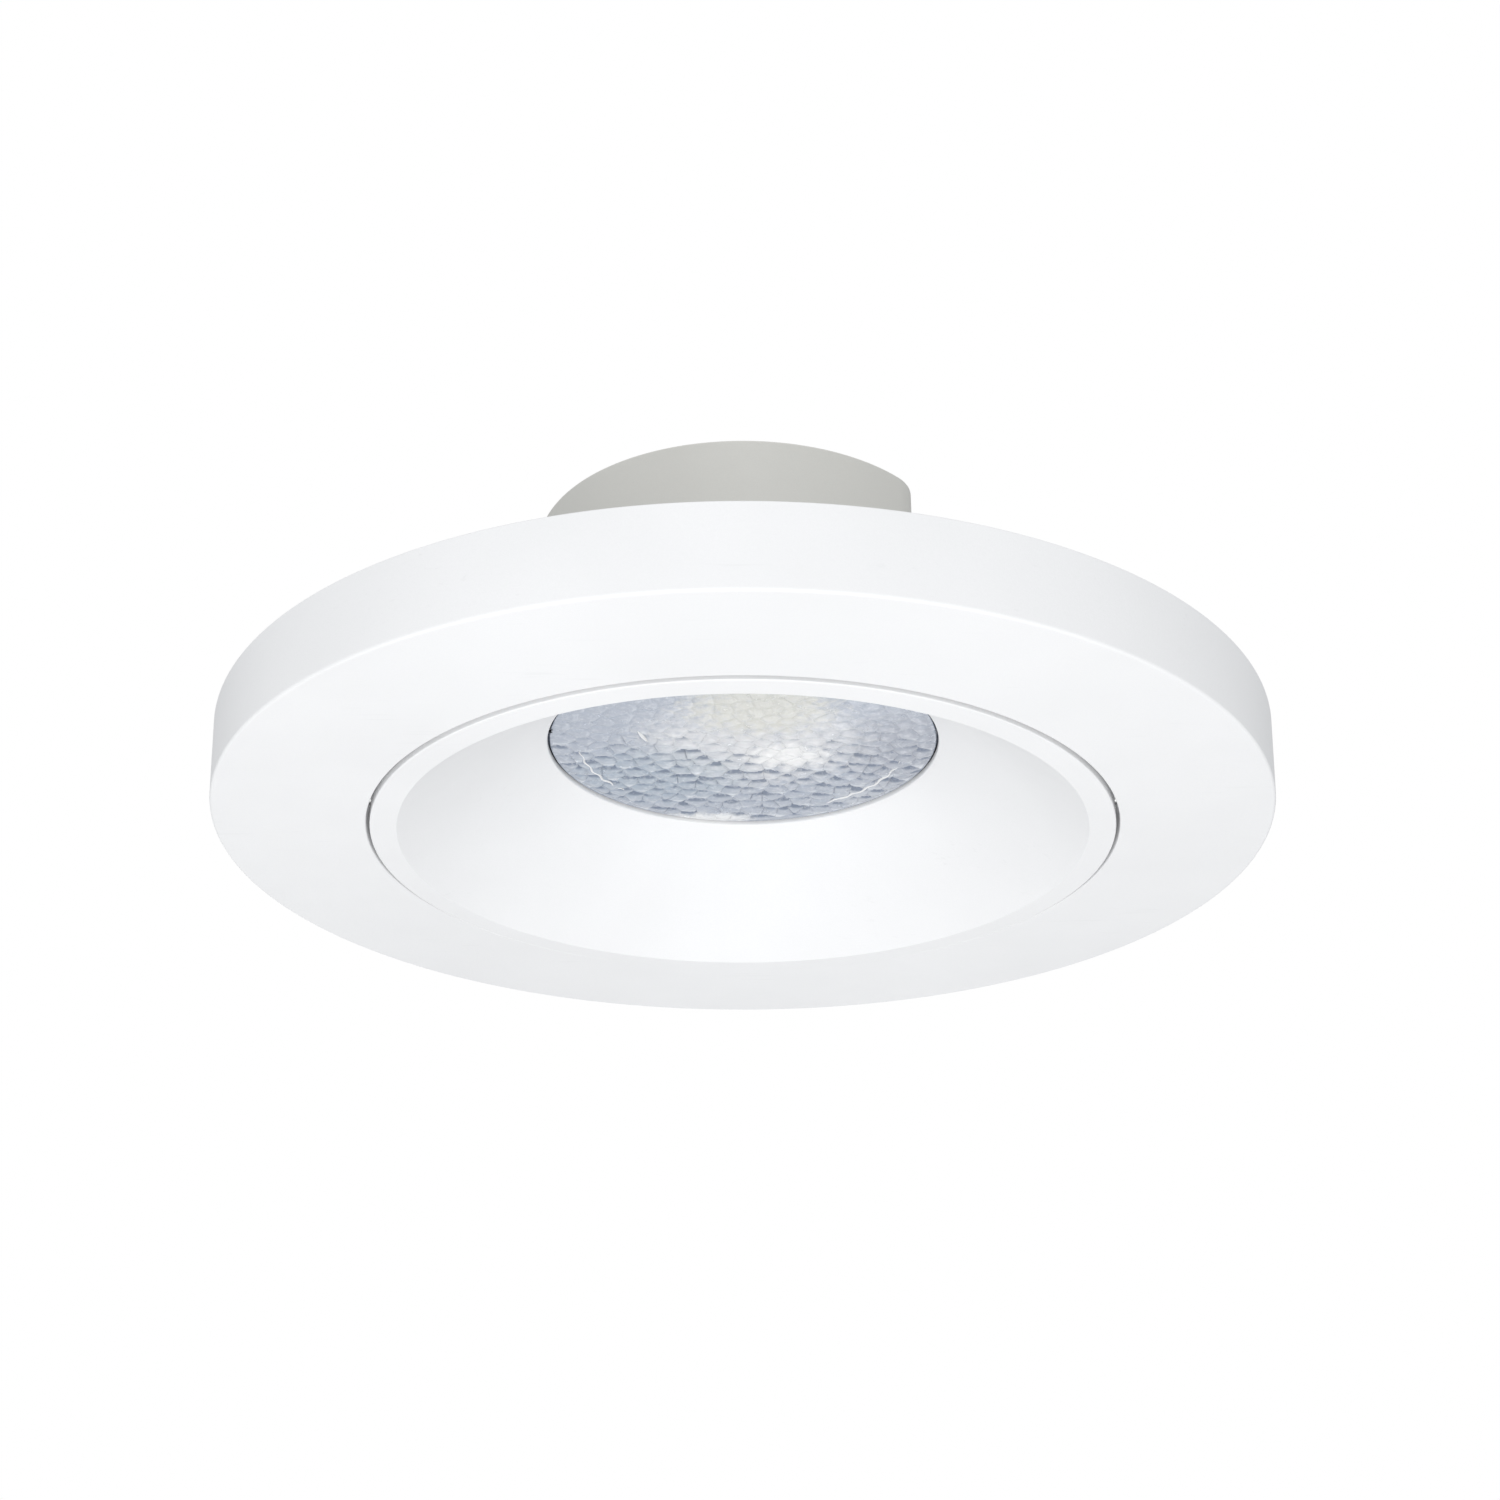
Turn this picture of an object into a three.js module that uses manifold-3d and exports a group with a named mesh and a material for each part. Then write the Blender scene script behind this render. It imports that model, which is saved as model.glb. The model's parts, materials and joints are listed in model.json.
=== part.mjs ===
// A round adjustable LED ceiling downlight, in millimetres.
// The origin is the centre of the ceiling plane that the trim ring's back rests on, and +Z points up
// into the ceiling. The lamp pans about Z and tilts about an axis along X.
import * as THREE from 'three';
import { mergeVertices } from 'three/addons/utils/BufferGeometryUtils.js';
import Module from 'manifold-3d';

const wasm = await Module();
wasm.setup();

// ---------- driving dimensions ----------
const TRIM_R = 65;              // outer radius of the trim ring at its face
const TRIM_BACK_R = 65.45;      // and at the ceiling, where the drafted wall is a little wider
const TRIM_DEPTH = 9.95;        // height of the trim ring below the ceiling
const TRIM_HOLE_R = 46.5;       // the hole that the lamp's bezel fills
const FACE_THICK = 2.5;         // the trim ring's face
const WALL_THICK = 2.6;         // the trim ring's outer wall
const HUB_THICK = 1.4;          // the upstand round the hole, which the pan ring turns on
const EDGE = 0.4;               // edge chamfers
const FINE_EDGE = 0.2;          // chamfers on each side of the gap round the bezel

const LIP_R = 46.05;            // outer radius of the bezel
const LIP_PROUD = 0.25;         // how far the bezel stands out of the trim ring's face
const LIP_THICK = 3;
const MOUTH_R = 42.8;           // wide end of the conical recess
const APERTURE_R = 24.85;       // narrow end of the conical recess
const APERTURE_RISE = 13.4;     // from the trim ring's face up to the narrow end
const CONE_WALL = 1.5;
const LAMP_FLANGE_R = 34.3;     // the cone's flange, which is screwed to the heat sink

const LENS_R = 26.3;
const SINK_R = 30;              // heat sink body
const SINK_TOP = 19.4;
const CAN_R = 27;               // driver housing, a round can with one flat side
const CAN_FLAT_X = 21.3;
const CAN_CORNER_R = 6.5;
const CAN_TOP = 32.3;
const CAN_WALL = 1.5;

const PIVOT_Z = -4.6;           // height of the tilt axis
const PIN_R = 1.2;
const SHANK_R = 0.8;            // every screw
const PAN_STOP_HALF_DEG = 2;    // half width of the pan stop and of the tab that meets it
const HOOK_COUNT = 3;           // bayonet hooks, with as many lugs, and clips between them
const FIRST_HOOK_DEG = 30;
const HOOK_HALF_DEG = 6;
const LUG_HALF_DEG = 10;

const RUN_GAP = 0.3;            // between pieces that touch or turn
const PRESS_GAP = 0.1;          // between a pin or shank and its hole
const ROOT = 1;                 // how far an added boss or tab reaches into its wall
const BLIND = 1.4;              // how far a blind screw hole reaches into its wall
const OVERCUT = 1;              // how far a cutting solid reaches past the face that it opens

// ---------- derived heights ----------
const FACE_Z = -TRIM_DEPTH;
const TRIM_BACK_Z = FACE_Z + FACE_THICK;
const HUB_TOP_Z = -5.8;
const LIP_Z = FACE_Z - LIP_PROUD;
const APERTURE_Z = FACE_Z + APERTURE_RISE;
const TRIM_WALL_IN_R = TRIM_R - WALL_THICK;
const HUB_R = TRIM_HOLE_R + HUB_THICK;

// ---------- facet counts ----------
const ROUND = 60;               // large rings
const MEDIUM = 36;              // parts the size of the lens
const FINE = 16;                // pins, washers and small round components
const SMALL = 8;                // screws and bosses
const CORNER = 4;               // each arc of an extruded outline

// ---------- materials ----------
function finish(color, roughness, metalness) {
  return () => new THREE.MeshStandardMaterial({ color, roughness, metalness });
}
const whitePaint = finish(0xf5f5f4, 0.55, 0);
const greyPaint = finish(0xc6c5c0, 0.6, 0);
const steel = finish(0xb4b6b8, 0.35, 1);
const castAluminium = finish(0xa9abad, 0.5, 1);
const brightAluminium = finish(0xdcdfe2, 0.12, 1);
const clearPlastic = finish(0xd5dce3, 0.1, 0);
const blackRubber = finish(0x2b2b2c, 0.8, 0);
const greyFoam = finish(0x55575a, 0.95, 0);
const whitePlastic = finish(0xebebe6, 0.5, 0);
const phosphor = finish(0xe8dd7c, 0.7, 0);
const boardGreen = finish(0x2f6b46, 0.5, 0);
const chipBlack = finish(0x222224, 0.6, 0);
const filmYellow = finish(0xc9a93a, 0.5, 0);
const sleeveBlack = finish(0x1f2328, 0.4, 0);
const copper = finish(0xb3683a, 0.35, 1);
const ferrite = finish(0x3c3b3b, 0.7, 0);
const resistorBlue = finish(0x5f8fa8, 0.5, 0);
const redInsulation = finish(0xb3322c, 0.5, 0);
const blackInsulation = finish(0x232324, 0.5, 0);
const padGrey = finish(0x8b8e96, 0.9, 0);

// ---------- solids ----------
function solid(geometry) {
  const bare = geometry.index ? geometry.clone() : geometry;
  bare.deleteAttribute('normal');
  bare.deleteAttribute('uv');
  const merged = mergeVertices(bare, 1e-4);
  const corners = merged.index.array;
  const kept = [];
  for (let i = 0; i < corners.length; i += 3) {
    const [a, b, c] = corners.subarray(i, i + 3);
    if (a !== b && b !== c && c !== a) kept.push(a, b, c);
  }
  const mesh = new wasm.Mesh({
    numProp: 3,
    vertProperties: new Float32Array(merged.attributes.position.array),
    triVerts: new Uint32Array(kept),
  });
  return new wasm.Manifold(mesh);
}

function geometryOf(manifold) {
  const mesh = manifold.getMesh();
  const geometry = new THREE.BufferGeometry();
  geometry.setAttribute('position', new THREE.BufferAttribute(mesh.vertProperties, 3));
  geometry.setIndex(new THREE.BufferAttribute(mesh.triVerts, 1));
  geometry.computeVertexNormals();
  return geometry;
}

// Joins every geometry in added to base, then cuts every geometry in removed from it.
function shaped(base, added, removed) {
  let body = solid(base);
  for (const piece of added) body = body.add(solid(piece));
  for (const piece of removed) body = body.subtract(solid(piece));
  return geometryOf(body);
}

// A closed [radius, height] outline, listed anticlockwise, turned about Z.
function turned(outline, facets) {
  const points = outline.map(([r, z]) => new THREE.Vector2(r, z));
  if (outline[0][0] > 0) points.push(points[0].clone());
  return new THREE.LatheGeometry(points, facets).rotateX(Math.PI / 2);
}

function washer(innerR, outerR, low, high, facets) {
  return turned([[innerR, low], [outerR, low], [outerR, high], [innerR, high]], facets);
}

function disc(radius, low, high, facets) {
  return turned([[0, low], [radius, low], [radius, high], [0, high]], facets);
}

function block(width, depth, low, high, x = 0, y = 0) {
  return new THREE.BoxGeometry(width, depth, high - low).translate(x, y, (low + high) / 2);
}

function prism(shape, low, high, curveSegments = CORNER) {
  const options = { depth: high - low, bevelEnabled: false, curveSegments };
  return new THREE.ExtrudeGeometry(shape, options).translate(0, 0, low);
}

// A piece of a ring, centred on the given angle in degrees.
function sector(innerR, outerR, halfDeg, low, high, atDeg = 0) {
  const half = THREE.MathUtils.degToRad(halfDeg);
  const shape = new THREE.Shape();
  shape.absarc(0, 0, outerR, -half, half, false);
  shape.absarc(0, 0, innerR, half, -half, true);
  return atAngle(prism(shape, low, high), atDeg);
}

// A rectangle with rounded corners, centred on x, y.
function roundedRect(length, width, radius, x = 0, y = 0) {
  const shape = new THREE.Shape();
  const dx = length / 2 - radius;
  const dy = width / 2 - radius;
  const quarter = Math.PI / 2;
  shape.absarc(x + dx, y - dy, radius, -quarter, 0, false);
  shape.absarc(x + dx, y + dy, radius, 0, quarter, false);
  shape.absarc(x - dx, y + dy, radius, quarter, 2 * quarter, false);
  shape.absarc(x - dx, y - dy, radius, 2 * quarter, 3 * quarter, false);
  return shape;
}

// The driver housing's outline, brought in by the inset: an arc, a flat on +X and two round corners.
function canOutline(inset) {
  const radius = CAN_R - inset;
  const corner = Math.max(CAN_CORNER_R - inset, 1);
  const centreX = CAN_FLAT_X - inset - corner;
  const centreY = Math.sqrt((radius - corner) ** 2 - centreX ** 2);
  const meet = Math.atan2(centreY, centreX);
  const shape = new THREE.Shape();
  const arcs = 9;
  const span = (2 * Math.PI - 2 * meet) / arcs;
  for (let k = 0; k < arcs; k += 1) {
    shape.absarc(0, 0, radius, meet + k * span, meet + (k + 1) * span, false);
  }
  shape.absarc(centreX, -centreY, corner, 2 * Math.PI - meet, 2 * Math.PI, false);
  shape.absarc(centreX, centreY, corner, 0, meet, false);
  return shape;
}

function canPrism(inset, low, high) {
  return prism(canOutline(inset), low, high);
}

function atAngle(geometry, degrees) {
  return geometry.rotateZ(THREE.MathUtils.degToRad(degrees));
}

// Lays a geometry that was made about Z along +X instead, then lifts it to the given height.
function alongX(geometry, height) {
  return geometry.rotateY(Math.PI / 2).translate(0, 0, height);
}

function polar(radius, degrees) {
  const angle = THREE.MathUtils.degToRad(degrees);
  return [radius * Math.cos(angle), radius * Math.sin(angle)];
}

// A pan-head screw made head up with the underside of its head at z = 0.
function screw({ headR, headHeight, length }) {
  const rimHeight = headHeight * 0.6;
  const crownR = headR * 0.75;
  return turned([
    [0, -length], [SHANK_R, -length], [SHANK_R, 0],
    [headR, 0], [headR, rimHeight], [crownR, headHeight], [0, headHeight],
  ], SMALL);
}

// The same screw with a cross recess in its head.
function crossScrew(size) {
  const slotWidth = size.headR * 0.28;
  const slotLength = size.headR * 1.1;
  const slotFloor = size.headHeight * 0.45;
  const bar = block(slotLength, slotWidth, slotFloor, size.headHeight + OVERCUT);
  const crossBar = block(slotWidth, slotLength, slotFloor, size.headHeight + OVERCUT);
  return shaped(screw(size), [], [bar, crossBar]);
}

// A round tube swept along a smooth path.
function tube(points, radius, steps) {
  const section = new THREE.Shape();
  section.absarc(0, 0, radius, 0, 2 * Math.PI, false);
  const path = new THREE.CatmullRomCurve3(points.map(([x, y, z]) => new THREE.Vector3(x, y, z)));
  return new THREE.ExtrudeGeometry(section, { steps, curveSegments: CORNER, extrudePath: path });
}

// ---------- the assembly ----------
const downlight = new THREE.Group();
const mount = new THREE.Group();
const trim = new THREE.Group();
const carrier = new THREE.Group();
const lamp = new THREE.Group();
downlight.add(mount, trim, carrier, lamp);

function place(group, name, geometry, material) {
  const mesh = new THREE.Mesh(geometry, material());
  mesh.name = name;
  group.add(mesh);
  return mesh;
}

const hookSpacingDeg = 360 / HOOK_COUNT;
const hookDegs = Array.from({ length: HOOK_COUNT }, (_, k) => FIRST_HOOK_DEG + hookSpacingDeg * k);
const clipDegs = hookDegs.map((deg) => deg + hookSpacingDeg / 2);
const bothSides = [0, 180];

// ---------- mounting plate and bayonet ----------
const PLATE_IN_R = 48.5;
const PLATE_OUT_R = 59.6;
const PLATE_THICK = 1.2;
const HOOK_LEG_IN_R = PLATE_OUT_R - PLATE_THICK;
const HOOK_FOOT_R = TRIM_WALL_IN_R - RUN_GAP;
const HOOK_FOOT_Z = -4.4;
const HOOK_FOOT_TOP_Z = HOOK_FOOT_Z + PLATE_THICK;
const LUG_IN_R = PLATE_OUT_R + 1;
const LUG_Z = HOOK_FOOT_TOP_Z + 0.4;
const LUG_TOP_Z = -0.8;
const LUG_STOP_HALF_DEG = 1.2;
const SLOT_LENGTH = 10;
const SLOT_WIDTH = 5;
const SLOT_R = (PLATE_IN_R + PLATE_OUT_R) / 2;
const SLOT_END_R = SLOT_WIDTH / 2 - 0.1;

function mountingPlate() {
  const ring = washer(PLATE_IN_R, PLATE_OUT_R, -PLATE_THICK, 0, ROUND);
  const legs = hookDegs.map((deg) => (
    sector(HOOK_LEG_IN_R, PLATE_OUT_R, HOOK_HALF_DEG, HOOK_FOOT_Z, -PLATE_THICK / 2, deg)));
  const feet = hookDegs.map((deg) => (
    sector(HOOK_LEG_IN_R, HOOK_FOOT_R, HOOK_HALF_DEG, HOOK_FOOT_Z, HOOK_FOOT_TOP_Z, deg)));
  const slot = roundedRect(SLOT_WIDTH, SLOT_LENGTH, SLOT_END_R, SLOT_R);
  const slots = bothSides.map((deg) => atAngle(prism(slot, -2 * PLATE_THICK, PLATE_THICK), deg));
  return shaped(ring, [...legs, ...feet], slots);
}
place(mount, 'mounting_plate', mountingPlate(), steel);

// ---------- trim ring ----------
const GASKET_WIDTH = 1.4;
const GASKET_DEPTH = 1;
const GASKET_OUT_R = TRIM_BACK_R - 0.55;
const GASKET_IN_R = GASKET_OUT_R - GASKET_WIDTH;
const CLIP_SCREW_R = 59.6;      // where the clip screws stand
const BOSS_R = 2.3;
const BOSS_TOP_Z = -5.25;
const SHANK_HOLE_R = SHANK_R + PRESS_GAP;
const PAN_FLANGE_R = 55;
const PAN_TAB_R = PAN_FLANGE_R + 1.8;
const PAN_STOP_OUT_R = PAN_TAB_R + 0.8;
const PAN_THICK = 1.5;
const PAN_Z = TRIM_BACK_Z + 0.4;
const PAN_TOP_Z = PAN_Z + PAN_THICK;

function trimRing() {
  const section = turned([
    [TRIM_HOLE_R + FINE_EDGE, FACE_Z], [TRIM_R - EDGE, FACE_Z], [TRIM_R, FACE_Z + EDGE],
    [TRIM_BACK_R, 0],
    [GASKET_OUT_R, 0], [GASKET_OUT_R, -GASKET_DEPTH], [GASKET_IN_R, -GASKET_DEPTH], [GASKET_IN_R, 0],
    [TRIM_WALL_IN_R, 0], [TRIM_WALL_IN_R, TRIM_BACK_Z],
    [HUB_R, TRIM_BACK_Z], [HUB_R, HUB_TOP_Z], [TRIM_HOLE_R, HUB_TOP_Z],
    [TRIM_HOLE_R, FACE_Z + FINE_EDGE],
  ], ROUND);
  const intoWall = TRIM_WALL_IN_R + 0.4;
  const lugs = hookDegs.map((deg) => (
    sector(LUG_IN_R, intoWall, LUG_HALF_DEG, LUG_Z, LUG_TOP_Z, deg)));
  const stopDeg = LUG_HALF_DEG - LUG_STOP_HALF_DEG;
  const lugStops = hookDegs.map((deg) => (
    sector(LUG_IN_R, intoWall, LUG_STOP_HALF_DEG, HOOK_FOOT_Z, LUG_TOP_Z - EDGE, deg - stopDeg)));
  const bosses = clipDegs.map((deg) => (
    disc(BOSS_R, TRIM_BACK_Z - ROOT, BOSS_TOP_Z, SMALL).translate(...polar(CLIP_SCREW_R, deg), 0)));
  const holes = clipDegs.map((deg) => (
    disc(SHANK_HOLE_R, TRIM_BACK_Z - BLIND, 0, SMALL).translate(...polar(CLIP_SCREW_R, deg), 0)));
  const panStop = sector(PAN_FLANGE_R + RUN_GAP, PAN_STOP_OUT_R, PAN_STOP_HALF_DEG,
    TRIM_BACK_Z - ROOT, PAN_TOP_Z, 180);
  return shaped(section, [...lugs, ...lugStops, ...bosses, panStop], holes);
}
place(trim, 'trim_ring', trimRing(), whitePaint);

const gasket = washer(
  GASKET_IN_R + PRESS_GAP, GASKET_OUT_R - PRESS_GAP, -GASKET_DEPTH + PRESS_GAP, 0, ROUND);
place(trim, 'ceiling_gasket', gasket, greyFoam);

// ---------- retaining clips ----------
const CLIP_TIP_R = 52.2;
const CLIP_END_R = 62;
const CLIP_WIDTH = 8;
const CLIP_THICK = 1;
const CLIP_CORNER_R = 1.5;
const RIB_LENGTH = 4;
const RIB_WIDTH = 1.2;
const RIB_HEIGHT = 0.5;
const CLIP_Z = BOSS_TOP_Z + PRESS_GAP;
const CLIP_SCREW = { headR: 1.9, headHeight: 1.3, length: 3.8 };

function retainingClip() {
  const middle = (CLIP_END_R + CLIP_TIP_R) / 2;
  const outline = roundedRect(CLIP_END_R - CLIP_TIP_R, CLIP_WIDTH, CLIP_CORNER_R, middle);
  const strip = prism(outline, CLIP_Z, CLIP_Z + CLIP_THICK, 3);
  const hole = disc(SHANK_HOLE_R + PRESS_GAP, CLIP_Z - OVERCUT, 0, SMALL).translate(CLIP_SCREW_R, 0, 0);
  const ribX = CLIP_TIP_R + 1 + RIB_LENGTH / 2;
  const clipTop = CLIP_Z + CLIP_THICK;
  const rib = block(RIB_LENGTH, RIB_WIDTH, clipTop - CLIP_THICK / 2, clipTop + RIB_HEIGHT, ribX);
  return shaped(strip, [rib], [hole]);
}

clipDegs.forEach((deg, k) => {
  place(trim, `retaining_clip_${k + 1}`, atAngle(retainingClip(), deg), steel);
  const fastener = place(trim, `clip_screw_${k + 1}`, crossScrew(CLIP_SCREW), steel);
  fastener.position.set(...polar(CLIP_SCREW_R, deg), CLIP_Z + CLIP_THICK + PRESS_GAP);
});

// ---------- pan ring ----------
const EAR_IN_R = HUB_R + RUN_GAP + 0.05;
const EAR_HALF_WIDTH = 4.5;
const EAR_TOP_Z = -2.3;
const EAR_CORNER_R = 2;

// An upright ear across X with rounded top corners, from x = inner to x = outer, standing on z = low.
function ear(inner, outer, low) {
  const side = EAR_HALF_WIDTH - EAR_CORNER_R;
  const shoulder = EAR_TOP_Z - EAR_CORNER_R;
  const outline = new THREE.Shape();
  outline.moveTo(-EAR_HALF_WIDTH, low);
  outline.lineTo(EAR_HALF_WIDTH, low);
  outline.absarc(side, shoulder, EAR_CORNER_R, 0, Math.PI / 2, false);
  outline.absarc(-side, shoulder, EAR_CORNER_R, Math.PI / 2, Math.PI, false);
  return prism(outline, inner, outer, 3).rotateX(Math.PI / 2).rotateZ(Math.PI / 2);
}

function pivotHole(inner, outer, radius) {
  return alongX(disc(radius, inner, outer, FINE), PIVOT_Z);
}

function panRing() {
  const ring = washer(HUB_R + RUN_GAP, PAN_FLANGE_R, PAN_Z, PAN_TOP_Z, ROUND);
  const tab = sector(PAN_FLANGE_R - ROOT, PAN_TAB_R, PAN_STOP_HALF_DEG, PAN_Z, PAN_TOP_Z);
  const added = [tab];
  const removed = [];
  const windowLow = EAR_IN_R + PAN_THICK;
  const windowHigh = PAN_FLANGE_R - 2.2;
  for (const side of bothSides) {
    added.push(atAngle(ear(EAR_IN_R, windowLow, PAN_Z), side));
    const hole = pivotHole(EAR_IN_R - OVERCUT, windowLow + OVERCUT, PIN_R + PRESS_GAP);
    removed.push(atAngle(hole, side));
    const window = block(windowHigh - windowLow, 2 * EAR_HALF_WIDTH,
      PAN_Z - OVERCUT, PAN_TOP_Z + OVERCUT, (windowHigh + windowLow) / 2);
    removed.push(atAngle(window, side));
  }
  return shaped(ring, added, removed);
}
place(carrier, 'pan_ring', panRing(), steel);

// ---------- reflector cone with its bezel ----------
const LAMP_EAR_IN_R = 43.2;
const LAMP_EAR_OUT_R = 45.4;
const FLANGE_Z = APERTURE_Z - 0.2;
const FLANGE_TOP_Z = FLANGE_Z + 3.6;
const LENS_SEAT_Z = APERTURE_Z + 0.7;
const LENS_SEAT_R = LENS_R + RUN_GAP;
const CONE_SCREW_R = 32;
const CONE_SCREW = { headR: 1.6, headHeight: 1.2, length: 8 };
const coneScrewDegs = hookDegs;
const coneSlope = (MOUTH_R - APERTURE_R) / (APERTURE_Z - LIP_Z);
const coneOffset = CONE_WALL * Math.hypot(1, coneSlope);

function coneOuterR(z) {
  return APERTURE_R + (APERTURE_Z - z) * coneSlope + coneOffset;
}

function reflectorCone() {
  const lipTop = LIP_Z + LIP_THICK;
  const section = turned([
    [MOUTH_R, LIP_Z], [LIP_R - FINE_EDGE, LIP_Z], [LIP_R, LIP_Z + FINE_EDGE], [LIP_R, lipTop],
    [coneOuterR(lipTop), lipTop], [coneOuterR(FLANGE_Z), FLANGE_Z],
    [LAMP_FLANGE_R, FLANGE_Z], [LAMP_FLANGE_R, FLANGE_TOP_Z],
    [LENS_SEAT_R, FLANGE_TOP_Z], [LENS_SEAT_R, LENS_SEAT_Z],
    [APERTURE_R, LENS_SEAT_Z], [APERTURE_R, APERTURE_Z],
  ], ROUND);
  const ears = bothSides.map((side) => (
    atAngle(ear(LAMP_EAR_IN_R, LAMP_EAR_OUT_R, lipTop - ROOT / 2), side)));
  const pinHoles = bothSides.map((side) => (
    atAngle(pivotHole(LAMP_EAR_IN_R - OVERCUT, LAMP_EAR_OUT_R + RUN_GAP, PIN_R + PRESS_GAP), side)));
  const screwHoles = coneScrewDegs.map((deg) => (
    disc(SHANK_HOLE_R, FLANGE_Z - OVERCUT, FLANGE_TOP_Z + OVERCUT, SMALL)
      .translate(...polar(CONE_SCREW_R, deg), 0)));
  return shaped(section, ears, [...pinHoles, ...screwHoles]);
}
place(lamp, 'reflector_cone', reflectorCone(), whitePaint);

coneScrewDegs.forEach((deg, k) => {
  const fastener = place(lamp, `cone_screw_${k + 1}`, screw(CONE_SCREW), steel);
  fastener.rotation.x = Math.PI;
  fastener.position.set(...polar(CONE_SCREW_R, deg), FLANGE_Z - PRESS_GAP);
});

// ---------- pivot pins, with a spring washer and a clip on each ----------
const PIN_HEAD_R = 2.2;
const PIN_HEAD_X = LAMP_EAR_IN_R - 0.9;
const PIN_SHANK_X = LAMP_EAR_IN_R - PRESS_GAP;
const PIN_END_X = 51.6;
const PIN_GROOVE_R = 0.9;
const WASHER_X = EAR_IN_R + PAN_THICK + PRESS_GAP;
const WASHER_THICK = 0.6;
const PIN_CLIP_X = WASHER_X + WASHER_THICK + PRESS_GAP;
const PIN_CLIP_THICK = 0.5;
const PIN_CLIP_R = 2.1;
const PIN_WASHER_IN_R = PIN_R + 0.2;
const PIN_WASHER_OUT_R = 2.3;

function pivotPin() {
  const grooveX = PIN_CLIP_X - PRESS_GAP;
  const grooveEndX = PIN_CLIP_X + PIN_CLIP_THICK + PRESS_GAP;
  return alongX(turned([
    [0, PIN_HEAD_X], [PIN_HEAD_R, PIN_HEAD_X], [PIN_HEAD_R, PIN_SHANK_X],
    [PIN_R, PIN_SHANK_X], [PIN_R, grooveX],
    [PIN_GROOVE_R, grooveX], [PIN_GROOVE_R, grooveEndX], [PIN_R, grooveEndX],
    [PIN_R, PIN_END_X], [0, PIN_END_X],
  ], FINE), PIVOT_Z);
}

function pivotWasher() {
  const endX = WASHER_X + WASHER_THICK;
  return alongX(washer(PIN_WASHER_IN_R, PIN_WASHER_OUT_R, WASHER_X, endX, FINE), PIVOT_Z);
}

function pivotClip() {
  const endX = PIN_CLIP_X + PIN_CLIP_THICK;
  const ring = washer(PIN_GROOVE_R + PRESS_GAP, PIN_CLIP_R, PIN_CLIP_X, endX, FINE);
  const openingLength = PIN_CLIP_R + OVERCUT;
  const opening = block(2 * PIN_GROOVE_R, openingLength, 0, PIN_END_X, 0, -openingLength / 2);
  return alongX(shaped(ring, [], [opening]), PIVOT_Z);
}

for (const [side, degrees] of [['right', 0], ['left', 180]]) {
  place(lamp, `pivot_pin_${side}`, atAngle(pivotPin(), degrees), steel);
  place(carrier, `pivot_washer_${side}`, atAngle(pivotWasher(), degrees), steel);
  place(lamp, `pivot_clip_${side}`, atAngle(pivotClip(), degrees), steel);
}

// ---------- lens, seal and optic ----------
const SEAL_Z = LENS_SEAT_Z + PRESS_GAP;
const SEAL_THICK = 0.6;
const LENS_FLANGE_Z = SEAL_Z + SEAL_THICK + PRESS_GAP;
const LENS_TOP_Z = LENS_FLANGE_Z + 1.7;
const LENS_FRONT_R = APERTURE_R - RUN_GAP;
const LENS_FRONT_Z = APERTURE_Z + 0.15;
const OPTIC_Z = LENS_TOP_Z + RUN_GAP;
const OPTIC_TOP_Z = 13.6;
const OPTIC_MOUTH_R = 24.2;
const OPTIC_THROAT_R = 7.4;
const OPTIC_SHOULDER_R = OPTIC_MOUTH_R - 6;
const OPTIC_SHOULDER_Z = OPTIC_TOP_Z - 1.4;
const OPTIC_WALL = 0.8;
const OPTIC_STEPS = 5;

const seal = washer(APERTURE_R + PRESS_GAP, LENS_R, SEAL_Z, SEAL_Z + SEAL_THICK, MEDIUM);
place(lamp, 'lens_seal', seal, blackRubber);

const lens = turned([
  [0, LENS_FRONT_Z], [LENS_FRONT_R, LENS_FRONT_Z], [LENS_FRONT_R, LENS_FLANGE_Z],
  [LENS_R, LENS_FLANGE_Z], [LENS_R, LENS_TOP_Z], [0, LENS_TOP_Z],
], MEDIUM);
place(lamp, 'lens', lens, clearPlastic);

function opticReflector() {
  const bowl = new THREE.QuadraticBezierCurve(
    new THREE.Vector2(OPTIC_MOUTH_R, OPTIC_Z),
    new THREE.Vector2(OPTIC_SHOULDER_R, OPTIC_SHOULDER_Z),
    new THREE.Vector2(OPTIC_THROAT_R, OPTIC_TOP_Z),
  ).getPoints(OPTIC_STEPS).map((point) => [point.x, point.y]);
  const rimTop = OPTIC_Z + OPTIC_WALL;
  const rimR = OPTIC_MOUTH_R + OPTIC_WALL;
  const outside = bowl.slice(1, -1).map(([r, z]) => [r + OPTIC_WALL, z + OPTIC_WALL / 2]);
  return turned([
    [LENS_R, OPTIC_Z], [LENS_R, rimTop], [rimR, rimTop],
    ...outside, [OPTIC_THROAT_R + OPTIC_WALL, OPTIC_TOP_Z],
    ...bowl.reverse(),
  ], MEDIUM);
}
place(lamp, 'optic_reflector', opticReflector(), brightAluminium);

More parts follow.
